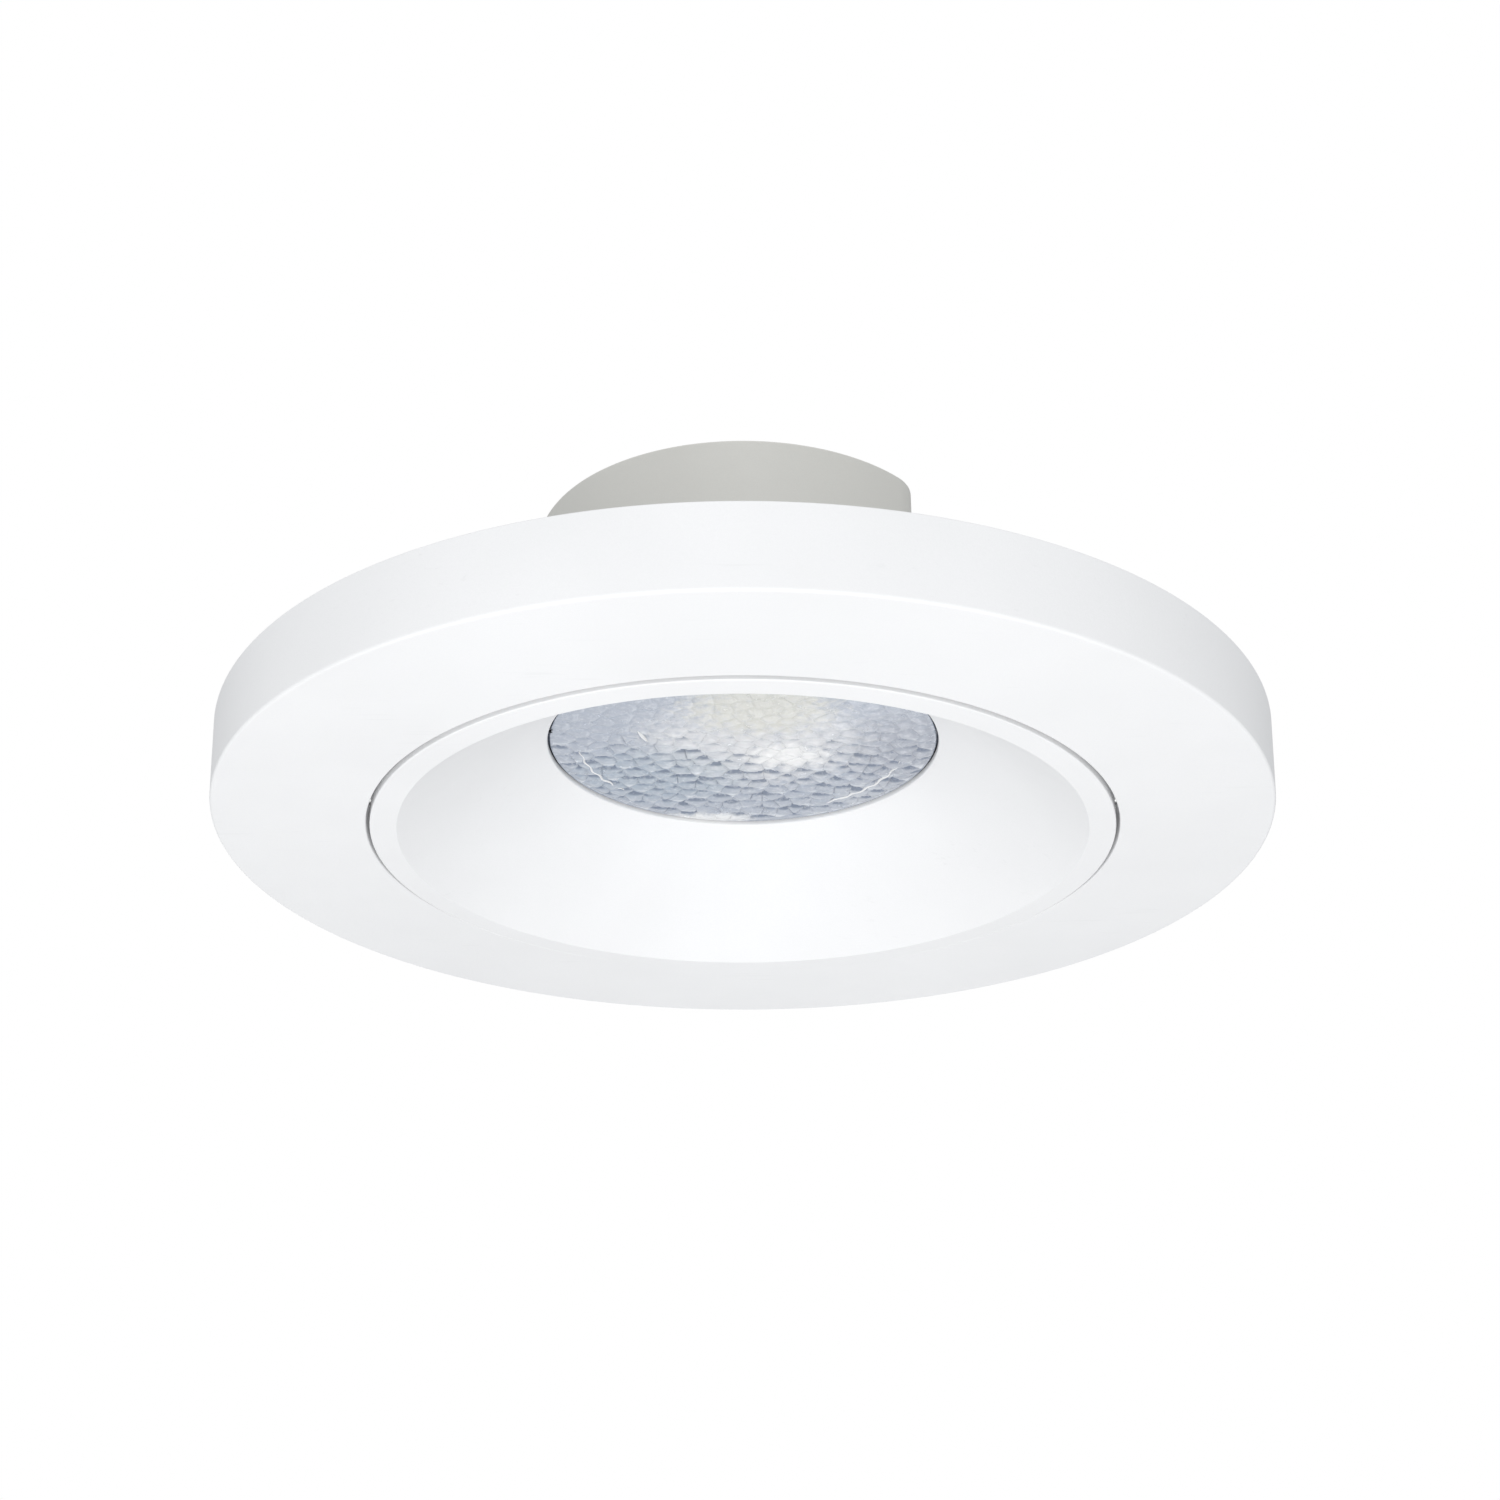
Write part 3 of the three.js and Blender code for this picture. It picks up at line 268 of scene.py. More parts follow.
def sector(inner, outer, half_deg, at_deg=0, steps=12):
    mid, half = math.radians(at_deg), math.radians(half_deg)
    return arc(outer, mid - half, mid + half, steps) + arc(inner, mid + half, mid - half, steps)


# --- meshes ---
def finished(bm, name="part"):
    bmesh.ops.recalc_face_normals(bm, faces=bm.faces)
    mesh = bpy.data.meshes.new(name)
    bm.to_mesh(mesh)
    bm.free()
    return mesh


def swept(rings, closed):
    """Skins (outline, height) rings; closed joins the last to the first, else both are capped."""
    bm = bmesh.new()
    loops = []
    for outline, height in rings:
        loops.append([bm.verts.new((p.x * MM, p.y * MM, height * MM)) for p in outline])
    pairs = list(zip(loops, loops[1:]))
    if closed:
        pairs.append((loops[-1], loops[0]))
    else:
        bm.faces.new(loops[0])
        bm.faces.new(loops[-1])
    for lower, upper in pairs:
        for k in range(len(lower)):
            n = (k + 1) % len(lower)
            bm.faces.new((lower[k], lower[n], upper[n], upper[k]))
    return finished(bm)


def turned(profile, count=RING, closed=True):
    return swept([(circle(p.x, count), p.y) for p in profile], closed)


def band(inner, outer, low, high, low_edges, high_edges, steps=ARC):
    """The outline of a flat ring; the edge pairs round its inner and outer corners."""
    (low_in, low_out), (high_in, high_out) = low_edges, high_edges
    return filleted([(inner, low, low_in), (outer, low, low_out),
                     (outer, high, high_out), (inner, high, high_in)], steps)


def solid_turned(profile, count=RING):
    """A lathe whose first and last profile points are capped flat."""
    return turned(profile, count, closed=False)


def prism(outline, low, high, edge=0):
    """An upright prism; a small edge value turns its top and bottom edges into a narrow chamfer."""
    if edge == 0:
        return swept([(outline, low), (outline, high)], closed=False)
    narrow = inset_outline(outline, edge)
    return swept([(narrow, low), (outline, low + edge), (outline, high - edge), (narrow, high)], False)


def inset_outline(outline, distance):
    same_place = 1e-6
    points = []
    count = len(outline)
    for k, here in enumerate(outline):
        before, after = outline[k - 1], outline[(k + 1) % count]
        along = after - before
        if along.length < same_place:
            points.append(here)
            continue
        normal = Vector((-along.y, along.x)).normalized()
        points.append(here + normal * distance)
    return points


def disc(radius, low, high, count=SMALL, edge=0):
    return prism(circle(radius, count), low, high, edge)


def at_polar(mesh, radius, degrees):
    """Moves a mesh made at the origin out to a radius and angle without turning it."""
    angle = math.radians(degrees)
    return moved(mesh, radius * math.cos(angle), radius * math.sin(angle))


def bored(mesh, radius, low, high, places):
    """Bores one round hole for each (x, y) place in millimetres."""
    return with_removed(mesh, [moved(disc(radius, low, high), x, y) for x, y in places])


def on_circle(radius, degrees):
    return [(radius * math.cos(math.radians(d)), radius * math.sin(math.radians(d))) for d in degrees]


def block(x_low, x_high, y_low, y_high, low, high):
    corners = [(x_low, y_low), (x_high, y_low), (x_high, y_high), (x_low, y_high)]
    return prism([Vector(c) for c in corners], low, high)


def moved(mesh, x=0, y=0, z=0, turn=0):
    """Turns a mesh about Z by degrees, after shifting it by millimetres."""
    shift = Matrix.Translation(Vector((x, y, z)) * MM)
    mesh.transform(Matrix.Rotation(math.radians(turn), 4, "Z") @ shift)
    return mesh


def along_x(mesh, height):
    """Lays a mesh made about Z along +X, and lifts it to a height in millimetres."""
    lift = Matrix.Translation((0, 0, height * MM))
    mesh.transform(lift @ Matrix.Rotation(math.pi / 2, 4, "Y"))
    return mesh


def joined(meshes):
    bm = bmesh.new()
    for mesh in meshes:
        bm.from_mesh(mesh)
        bpy.data.meshes.remove(mesh)
    return finished(bm)


def boolean(mesh, tools, operation):
    base = bpy.data.objects.new("base", mesh)
    tool = bpy.data.objects.new("tool", joined(tools))
    for thing in (base, tool):
        bpy.context.scene.collection.objects.link(thing)
    modifier = base.modifiers.new("shape", "BOOLEAN")
    modifier.operation = operation
    modifier.solver = "MANIFOLD"
    modifier.object = tool
    bpy.context.view_layer.update()
    graph = bpy.context.evaluated_depsgraph_get()
    result = bpy.data.meshes.new_from_object(base.evaluated_get(graph))
    for thing in (base, tool):
        data = thing.data
        bpy.data.objects.remove(thing)
        bpy.data.meshes.remove(data)
    return result


def with_added(mesh, tools):
    return boolean(mesh, tools, "UNION")


def with_removed(mesh, tools):
    return boolean(mesh, tools, "DIFFERENCE")


def smooth(mesh, degrees):
    for face in mesh.polygons:
        face.use_smooth = True
    mesh.set_sharp_from_angle(angle=math.radians(degrees))


SLOTS = {sub_part["node"]: sub_part["material_slot"] for sub_part in frame["record"]["subparts"]}


def piece(node, mesh, body, angle=SHARP_DEG):
    """Makes the fine piece that stands for one CAD node and rides on its body."""
    name = node + "_fine"
    mesh.name = name
    smooth(mesh, angle)
    thing = bpy.data.objects.new(name, mesh)
    bpy.context.scene.collection.objects.link(thing)
    mesh.materials.clear()
    mesh.materials.append(SLOT_MATERIALS[SLOTS[node]])
    weighted = thing.modifiers.new("shading", "WEIGHTED_NORMAL")
    weighted.keep_sharp = True
    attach(thing, body)
    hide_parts(node)
    return thing


# --- materials ---
class Graph:
    """A material's node tree, with one call for each node and its inputs."""

    def __init__(self, name):
        self.material = bpy.data.materials.new(name)
        self.material.use_nodes = True
        self.tree = self.material.node_tree
        self.shader = self.tree.nodes["Principled BSDF"]
        self.place = self.add("ShaderNodeTexCoord").outputs["Object"]

    def add(self, kind, settings=(), **inputs):
        node = self.tree.nodes.new(kind)
        for key, value in dict(settings).items():
            setattr(node, key, value)
        for key, value in inputs.items():
            self.put(node.inputs[key.replace("_", " ")], value)
        return node

    def put(self, socket, value):
        if isinstance(value, bpy.types.NodeSocket):
            self.tree.links.new(value, socket)
        else:
            socket.default_value = value

    def noise(self, size_mm, detail=2.0, rough=0.5):
        """A noise value whose features are about size_mm across."""
        scale = 1 / (size_mm * MM)
        node = self.add("ShaderNodeTexNoise", Vector=self.place, Scale=scale,
                        Detail=detail, Roughness=rough)
        return node.outputs["Fac"]

    def spread(self, value, low, high, source=(0.3, 0.7)):
        node = self.add("ShaderNodeMapRange", Value=value)
        for key, number in zip(("From Min", "From Max", "To Min", "To Max"), (*source, low, high)):
            node.inputs[key].default_value = number
        return node.outputs["Result"]

    def mix(self, factor, first, second):
        """Goes from the first colour to the second; the node's colour sockets are found by place."""
        first_socket, second_socket, result_socket = 6, 7, 2
        node = self.add("ShaderNodeMix", {"data_type": "RGBA"})
        self.put(node.inputs["Factor"], factor)
        self.put(node.inputs[first_socket], first)
        self.put(node.inputs[second_socket], second)
        return node.outputs[result_socket]

    def math(self, operation, first, second=0.0):
        node = self.tree.nodes.new("ShaderNodeMath")
        node.operation = operation
        self.put(node.inputs[0], first)
        self.put(node.inputs[1], second)
        return node.outputs[0]

    def bump(self, heights):
        """Stacks (height, depth in millimetres) pairs into one normal."""
        normal = None
        for height, depth in heights:
            node = self.add("ShaderNodeBump", Height=height, Strength=1.0, Distance=depth * MM)
            if normal is not None:
                self.put(node.inputs["Normal"], normal)
            normal = node.outputs["Normal"]
        self.put(self.shader.inputs["Normal"], normal)

    def set(self, **inputs):
        for key, value in inputs.items():
            self.put(self.shader.inputs[key.replace("_", " ")], value)


def rgb(red, green, blue):
    return (red, green, blue, 1.0)


def shade(colour, share, lift=0.0):
    """A colour made darker or lighter, never past white."""
    return rgb(*(min(1, c * share + lift) for c in colour))


def specks(graph, spacing_mm, radius_mm, share):
    """A mask of sparse round specks: one in each cell of the spacing, kept in a share of the cells."""
    scale = 1 / (spacing_mm * MM)
    cells = graph.add("ShaderNodeTexVoronoi", Vector=graph.place, Scale=scale)
    near = graph.math("LESS_THAN", cells.outputs["Distance"], radius_mm / spacing_mm)
    pick = graph.add("ShaderNodeSeparateColor", Color=cells.outputs["Color"]).outputs[0]
    return graph.math("MULTIPLY", near, graph.math("LESS_THAN", pick, share))


def worn_edges(graph, amount):
    """A mask that rises on sharp outer edges, broken up by noise."""
    edge = graph.add("ShaderNodeNewGeometry").outputs["Pointiness"]
    raised = graph.spread(edge, 0.0, amount, (0.52, 0.62))
    return graph.math("MULTIPLY", raised, graph.noise(1.8, 3))


def scuffs(graph):
    """A mask of faint short rub marks that run two ways across the surface."""
    marks = []
    for turn, seed in ((0.6, 0.0), (2.1, 0.013)):
        turned_way = graph.add("ShaderNodeMapping", Vector=graph.place, Rotation=(0, 0.3, turn),
                               Location=(seed, 0, 0), Scale=(90, 1500, 1500))
        line = graph.add("ShaderNodeTexNoise", Vector=turned_way.outputs[0], Scale=1.0, Detail=2.0)
        marks.append(graph.spread(line.outputs["Fac"], 0, 1, (0.66, 0.74)))
    where = graph.spread(graph.noise(14, 2), 0, 1, (0.5, 0.62))
    return graph.math("MULTIPLY", graph.math("MAXIMUM", *marks), where)


def powder_coat(name, colour, roughness):
    """Matt coat with an orange-peel surface, broad tone changes, rub marks and a few dust specks."""
    graph = Graph(name)
    broad = graph.noise(22, 2)
    peel = graph.noise(0.55, 2)
    fine = graph.noise(0.16, 1)
    paint = graph.mix(graph.spread(broad, 0, 1), shade(colour, 0.965), rgb(*colour))
    paint = graph.mix(graph.spread(fine, 0, 0.25), paint, shade(colour, 0.9))
    rubbed = scuffs(graph)
    paint = graph.mix(graph.math("MULTIPLY", rubbed, 0.35), paint, shade(colour, 0.88))
    dust = specks(graph, 11, 0.12, 0.5)
    paint = graph.mix(graph.math("MULTIPLY", dust, 0.55), paint, rgb(0.3, 0.28, 0.26))
    gloss = graph.spread(graph.noise(3, 2), roughness - 0.05, roughness + 0.06)
    gloss = graph.math("SUBTRACT", gloss, graph.math("MULTIPLY", rubbed, 0.12))
    graph.set(Base_Color=paint, Roughness=gloss)
    graph.bump([(peel, 0.012), (fine, 0.004)])
    return graph.material


def bare_metal(name, colour, roughness, grain_mm, depth, stain=0.12):
    """Bare metal with a fine grain, faint stains and brighter rubbed edges."""
    graph = Graph(name)
    grain = graph.noise(grain_mm, 3, 0.6)
    stains = graph.noise(6, 4, 0.6)
    dark = shade(colour, 1 - 2 * stain)
    tone = graph.mix(graph.spread(stains, 0, 1), rgb(*colour), dark)
    tone = graph.mix(graph.spread(grain, 0, 0.3), tone, dark)
    tone = graph.mix(worn_edges(graph, 1.0), tone, shade(colour, 1.25))
    gloss = graph.spread(stains, roughness - 0.07, roughness + 0.1)
    graph.set(Base_Color=tone, Roughness=gloss, Metallic=1.0)
    graph.bump([(grain, depth)])
    return graph.material


def brushed_metal(name, colour, roughness):
    """Rolled sheet steel with fine lines along X and faint blotches."""
    graph = Graph(name)
    stretch = graph.add("ShaderNodeMapping", Vector=graph.place, Scale=(120, 5200, 5200))
    streaks = graph.add("ShaderNodeTexNoise", Vector=stretch.outputs[0], Scale=1.0, Detail=3.0)
    lines = streaks.outputs["Fac"]
    blotch = graph.noise(9, 4, 0.6)
    dark = shade(colour, 0.72)
    tone = graph.mix(graph.spread(lines, 0, 0.5), rgb(*colour), dark)
    tone = graph.mix(graph.spread(blotch, 0, 0.45), tone, dark)
    tone = graph.mix(worn_edges(graph, 1.0), tone, shade(colour, 1.25))
    gloss = graph.spread(blotch, roughness - 0.06, roughness + 0.12)
    graph.set(Base_Color=tone, Roughness=gloss, Metallic=1.0)
    graph.bump([(lines, 0.006)])
    return graph.material


def moulded(name, colour, roughness, grain_mm=0.35, depth=0.01):
    """Moulded plastic, rubber or lacquer with a fine spark-eroded grain and slight mottling."""
    graph = Graph(name)
    grain = graph.noise(grain_mm, 2)
    mottle = graph.noise(5, 3)
    tone = graph.mix(graph.spread(mottle, 0, 0.7), rgb(*colour), shade(colour, 0.82))
    tone = graph.mix(worn_edges(graph, 0.7), tone, shade(colour, 1.2, 0.02))
    gloss = graph.spread(mottle, roughness - 0.06, roughness + 0.08)
    graph.set(Base_Color=tone, Roughness=gloss)
    graph.bump([(grain, depth)])
    return graph.material


def patch(graph, x, y, reach_x, reach_y, strength=1.0):
    """A soft oval mask with a ragged edge round a point of the lens, in millimetres."""
    apart = graph.add("ShaderNodeSeparateXYZ", Vector=graph.place)
    across = graph.math("SUBTRACT", apart.outputs[0], x * MM)
    along = graph.math("SUBTRACT", apart.outputs[1], y * MM)
    across = graph.math("DIVIDE", across, reach_x * MM)
    along = graph.math("DIVIDE", along, reach_y * MM)
    share = graph.math("ADD", graph.math("POWER", across, 2.0), graph.math("POWER", along, 2.0))
    ragged = graph.math("ADD", share, graph.spread(graph.noise(1.3, 3, 0.6), -0.45, 0.45))
    return graph.math("MULTIPLY", graph.spread(ragged, 1.0, 0.0, (0.25, 1.25)), strength)


def lens_plastic(name):
    """Pebbled clear plastic over a metallised bowl, with light and shade painted into its colour: a
    painted bright centre, painted bluish shade outside it, a painted warm reflection of the chip's
    phosphor and painted highlights.

    The lens mesh carries a slope mark that places painted light and shade: positive on the far side of
    each cell, painted lighter, negative on the near side, painted darker, and past 1.2 on the flow
    lines, painted white as highlights.
    """
    graph = Graph(name)
    grain = graph.noise(0.22, 2)
    mottle = graph.noise(2.4, 3, 0.6)
    fine = graph.noise(0.5, 3, 0.6)
    slope = graph.add("ShaderNodeAttribute", {"attribute_name": "slope"}).outputs["Fac"]
    # Colours of painted light and shade seen through the clear lens; only the mottle is random tone
    painted_light_centre, painted_shade_blue = rgb(0.86, 0.86, 0.87), rgb(0.515, 0.555, 0.635)
    mottled_blue, white = rgb(0.475, 0.52, 0.6), rgb(0.98, 0.98, 0.98)
    painted_chip_reflection, painted_pale_sheen = rgb(0.76, 0.755, 0.69), rgb(0.7, 0.72, 0.76)
    painted_shade_deep_blue, painted_shade_slate = rgb(0.4, 0.49, 0.575), rgb(0.43, 0.445, 0.5)
    lit_side, shaded_side = rgb(0.84, 0.88, 0.94), rgb(0.18, 0.22, 0.3)
    # Painted light and shade: a painted bright centre inside painted bluish shade towards the rim
    tint = graph.mix(patch(graph, 1.5, -1.0, 15.0, 13.0), painted_shade_blue, painted_light_centre)
    tint = graph.mix(graph.spread(mottle, 0, 0.4), tint, mottled_blue)
    # Painted reflection: the chip's yellow phosphor seen through the lens, painted as a warm patch
    tint = graph.mix(patch(graph, 2.0, -11.5, 9.5, 8.5, 0.85), tint, painted_chip_reflection)
    # Painted sheen: a paler patch on the far right of the lens
    tint = graph.mix(patch(graph, 17.5, 15.5, 5.5, 5.5, 0.4), tint, painted_pale_sheen)
    # Painted shade: darker blue and slate patches on the left and on the right of the lens
    tint = graph.mix(patch(graph, -11.0, 9.0, 12.0, 9.0, 0.45), tint, painted_shade_deep_blue)
    tint = graph.mix(patch(graph, 20.0, 1.0, 7.0, 12.0, 0.5), tint, painted_shade_slate)
    # Painted light and shade on the pebbling: each cell's far side painted lighter, its near side
    # painted darker, and the flow lines painted white as highlights
    tint = graph.mix(graph.spread(slope, 0.0, 0.85, (0.5, 1.05)), tint, lit_side)
    tint = graph.mix(graph.spread(slope, 0.0, 1.0, (1.2, 2.0)), tint, white)
    tint = graph.mix(graph.spread(slope, 0.8, 0.0, (-1.05, -0.55)), tint, shaded_side)
    # Painted glints: small lighter specks from the fine noise
    tint = graph.mix(graph.spread(fine, 0.0, 0.4, (0.5, 0.75)), tint, rgb(0.9, 0.92, 0.95))
    # Painted highlight: a white patch a little right of the lens centre
    tint = graph.mix(patch(graph, 5.7, 2.9, 5.2, 3.4), tint, white)
    # Painted highlight: a near-white band at the far edge of the lens
    tint = graph.mix(patch(graph, -4.6, 23.2, 6.5, 1.8), tint, rgb(0.94, 0.95, 0.96))
    gloss = graph.spread(mottle, 0.12, 0.3)
    graph.set(Base_Color=tint, Roughness=gloss, Transmission_Weight=0.2, IOR=1.49)
    graph.bump([(grain, 0.012), (fine, 0.05)])
    return graph.material


def phosphor(name):
    graph = Graph(name)
    grain = graph.noise(0.3, 2)
    tone = graph.mix(graph.spread(grain, 0, 1), rgb(0.86, 0.72, 0.18), rgb(0.78, 0.62, 0.12))
    graph.set(Base_Color=tone, Roughness=0.55)
    graph.bump([(grain, 0.01)])
    return graph.material


def foam(name):
    graph = Graph(name)
    scale = 1 / (0.5 * MM)
    cells = graph.add("ShaderNodeTexVoronoi", Vector=graph.place, Scale=scale).outputs["Distance"]
    hollow = graph.spread(cells, 0, 1, (0.1, 0.6))
    tone = graph.mix(hollow, rgb(0.12, 0.125, 0.13), rgb(0.055, 0.057, 0.06))
    graph.set(Base_Color=tone, Roughness=0.95)
    graph.bump([(cells, 0.08), (graph.noise(0.2, 2), 0.02)])
    return graph.material


def fibre_board(name):
    """Green solder mask with a faint weave and copper tracks below it."""
    graph = Graph(name)
    threads = graph.add("ShaderNodeTexWave", Vector=graph.place, Scale=1400.0, Distortion=0.5)
    weave = threads.outputs["Fac"]
    squares = graph.add("ShaderNodeTexVoronoi", {"distance": "MANHATTAN"},
                        Vector=graph.place, Scale=240.0)
    track = graph.spread(squares.outputs["Distance"], 0, 1, (0.42, 0.46))
    tone = graph.mix(track, rgb(0.02, 0.15, 0.06), rgb(0.035, 0.22, 0.09))
    tone = graph.mix(graph.spread(weave, 0, 0.2), tone, rgb(0.01, 0.09, 0.035))
    graph.set(Base_Color=tone, Roughness=graph.spread(weave, 0.3, 0.42, (0, 1)))
    graph.bump([(track, 0.03), (weave, 0.004)])
    return graph.material


def wound_wire(name):
    """Enamelled copper wire laid in turns one above another."""
    graph = Graph(name)
    stretch = graph.add("ShaderNodeMapping", Vector=graph.place, Scale=(0.02, 0.02, 1))
    turns = graph.add("ShaderNodeTexWave", {"bands_direction": "Z"},
                      Vector=stretch.outputs[0], Scale=520.0)
    turn = turns.outputs["Fac"]
    # Painted light and shade: each turn is painted bright on its crest and dark in the groove between
    # turns, following the bump
    tone = graph.mix(turn, rgb(0.35, 0.12, 0.04), rgb(0.75, 0.36, 0.18))
    graph.set(Base_Color=tone, Roughness=0.3, Metallic=1.0)
    graph.bump([(turn, 0.15)])
    return graph.material


SLOT_MATERIALS = {
    "white_powder_coat": powder_coat("white_powder_coat", (0.87, 0.87, 0.875), 0.48),
    "grey_housing": powder_coat("grey_housing", (0.765, 0.755, 0.71), 0.55),
    "plated_steel": brushed_metal("plated_steel", (0.62, 0.63, 0.64), 0.36),
    "spring_steel": brushed_metal("spring_steel", (0.5, 0.51, 0.53), 0.28),
    "screw_steel": bare_metal("screw_steel", (0.58, 0.58, 0.57), 0.3, 0.4, 0.006),
    "cast_aluminium": bare_metal("cast_aluminium", (0.6, 0.61, 0.62), 0.5, 0.3, 0.03),
    "board_aluminium": bare_metal("board_aluminium", (0.72, 0.73, 0.74), 0.4, 0.5, 0.006),
    "bright_reflector": bare_metal("bright_reflector", (0.9, 0.91, 0.92), 0.14, 1.2, 0.004, 0.03),
    # The lens's colour carries painted light, painted shade and painted highlights
    "clear_lens": lens_plastic("clear_lens"),
    "led_phosphor": phosphor("led_phosphor"),
    "white_plastic": moulded("white_plastic", (0.8, 0.8, 0.77), 0.45),
    "black_rubber": moulded("black_rubber", (0.028, 0.028, 0.03), 0.7, 0.5, 0.02),
    "grey_foam": foam("grey_foam"),
    "thermal_silicone": moulded("thermal_silicone", (0.26, 0.28, 0.32), 0.8, 0.4, 0.02),
    "board_laminate": fibre_board("board_laminate"),
    "black_epoxy": moulded("black_epoxy", (0.018, 0.018, 0.02), 0.55, 0.2, 0.012),
    "yellow_film": moulded("yellow_film", (0.58, 0.4, 0.04), 0.35, 0.6, 0.01),
    "black_sleeve": moulded("black_sleeve", (0.014, 0.017, 0.024), 0.35, 0.8, 0.006),
    "ferrite": moulded("ferrite", (0.045, 0.044, 0.044), 0.6, 0.15, 0.03),
    "copper_wire": wound_wire("copper_wire"),
    "blue_lacquer": moulded("blue_lacquer", (0.11, 0.27, 0.38), 0.35, 0.7, 0.008),
    "red_insulation": moulded("red_insulation", (0.45, 0.03, 0.022), 0.45, 0.3, 0.01),
    "black_insulation": moulded("black_insulation", (0.02, 0.02, 0.022), 0.45, 0.3, 0.01),
}


def dress_cad_nodes():
    """Gives every CAD node the procedural material of its record slot."""
    for sub_part in frame["record"]["subparts"]:
        thing = frame["nodes"][sub_part["node"]]
        thing.data.materials.clear()
        thing.data.materials.append(SLOT_MATERIALS[sub_part["material_slot"]])


# --- screws ---
def pan_head_screw(head_r, head_height, length, cross=False):
    """Head up, with the underside of the head at z = 0 and turned thread crests down the shank."""
    thread = []
    pitch = 0.5
    turns = int((length - 0.9) / pitch)
    for k in range(turns):
        z = -length + 0.5 + k * pitch
        thread += [(SHANK_R * 0.82, z), (SHANK_R, z + pitch / 2)]
    crown = arc(head_r * 0.9, 0.15, math.pi / 2 - 0.02, 5)
    dome = [(p.x, max(0.15, p.y / head_r * head_height * 1.05)) for p in crown]
    profile = [(0.25, -length), (SHANK_R * 0.82, -length + 0.4)] + thread
    profile += [(SHANK_R * 0.95, -0.2), (SHANK_R, 0), (head_r, 0), (head_r, head_height * 0.25)]
    profile += [(x, z) for x, z in dome if z > head_height * 0.3]
    screw = solid_turned([Vector(p) for p in profile], SMALL)
    if not cross:
        return screw
    arm, half = head_r * 0.55, head_r * 0.14
    plus = [(arm, -half), (arm, half), (half, half), (half, arm), (-half, arm), (-half, half),
            (-arm, half), (-arm, -half), (-half, -half), (-half, -arm), (half, -arm), (half, -half)]
    recess = prism([Vector(p) for p in plus], head_height * 0.45, head_height + 1)
    return with_removed(screw, [recess])


def upside_down(mesh):
    mesh.transform(Matrix.Rotation(math.pi, 4, "X"))
    return mesh


# --- ears ---
def ear(inner, outer, low):
    """An upright ear across X with rounded top corners, standing on z = low."""
    shoulder = EAR_TOP_Z - EAR_CORNER_R
    side = EAR_HALF_WIDTH - EAR_CORNER_R
    quarter = math.pi / 2
    outline = [Vector((-low, -EAR_HALF_WIDTH)), Vector((-low, EAR_HALF_WIDTH))]
    outline += arc(EAR_CORNER_R, quarter, 2 * quarter, 6, (-shoulder, side))
    outline += arc(EAR_CORNER_R, 2 * quarter, 3 * quarter, 6, (-shoulder, -side))
    return along_x(prism(outline, inner, outer), 0)


def pivot_hole(inner, outer):
    return along_x(disc(PIN_HOLE_R, inner, outer), PIVOT_Z)


# --- trim ring ---
def trim_ring():
    """A ring with a drafted wall, bayonet lugs, screw bosses and the pan stop."""
    back_edge = 0.12
    groove_in, groove_out = gasket_high.x - GROOVE_REACH, gasket_high.x + PRESS_GAP
    profile = filleted([
        (TRIM_HOLE_R, FACE_Z, FINE_EDGE), (TRIM_R, FACE_Z, EDGE), (TRIM_BACK_R, 0, back_edge),
        (groove_out, 0), (groove_out, GROOVE_Z), (groove_in, GROOVE_Z), (groove_in, 0),
        (TRIM_WALL_IN_R, 0, SOFT_EDGE), (TRIM_WALL_IN_R, TRIM_BACK_Z, CAST_FILLET),
        (HUB_R, TRIM_BACK_Z, EDGE), (HUB_R, HUB_TOP_Z, SOFT_EDGE), (TRIM_HOLE_R, HUB_TOP_Z, SOFT_EDGE),
    ])
    ring = turned(profile)
    lug_in, into_wall = PLATE_OUT_R + LUG_CLEARANCE, TRIM_WALL_IN_R + 0.4
    lug_z = PLATE_FOOT_Z + PLATE_THICK + LUG_LIFT
    lugs = [prism(sector(lug_in, into_wall, LUG_HALF_DEG, d), lug_z, LUG_TOP_Z) for d in HOOK_DEGS]
    ring = with_added(ring, lugs)
    stop_in, stop_top = lug_in + 0.05, LUG_TOP_Z - EDGE
    stop_at = LUG_HALF_DEG - LUG_STOP_HALF_DEG
    stops = [prism(sector(stop_in, into_wall, LUG_STOP_HALF_DEG, d - stop_at), PLATE_FOOT_Z, stop_top)
             for d in HOOK_DEGS]
    ring = with_added(ring, stops)
    foot, boss_top = TRIM_BACK_Z - OVERCUT, clip_low.z - PRESS_GAP
    bosses = [at_polar(disc(BOSS_R, foot, boss_top), CLIP_SCREW_R, d) for d in CLIP_DEGS]
    stop_low, stop_high = PAN_FLANGE_R + RUN_GAP, PAN_FLANGE_R + PAN_STOP_REACH
    pan_stop = prism(sector(stop_low, stop_high, PAN_STOP_HALF_DEG, SIDES["left"]), foot, PAN_TOP_Z)
    ring = with_added(ring, bosses + [pan_stop])
    hole_foot = TRIM_BACK_Z - 1.4
    return bored(ring, SCREW_HOLE_R, hole_foot, 0, on_circle(CLIP_SCREW_R, CLIP_DEGS))


def ceiling_gasket():
    inner, outer = gasket_high.x - GASKET_WIDTH, gasket_high.x
    return turned(band(inner, outer, gasket_low.z, gasket_high.z, (TINY_EDGE, TINY_EDGE), (0.25, 0.25)))


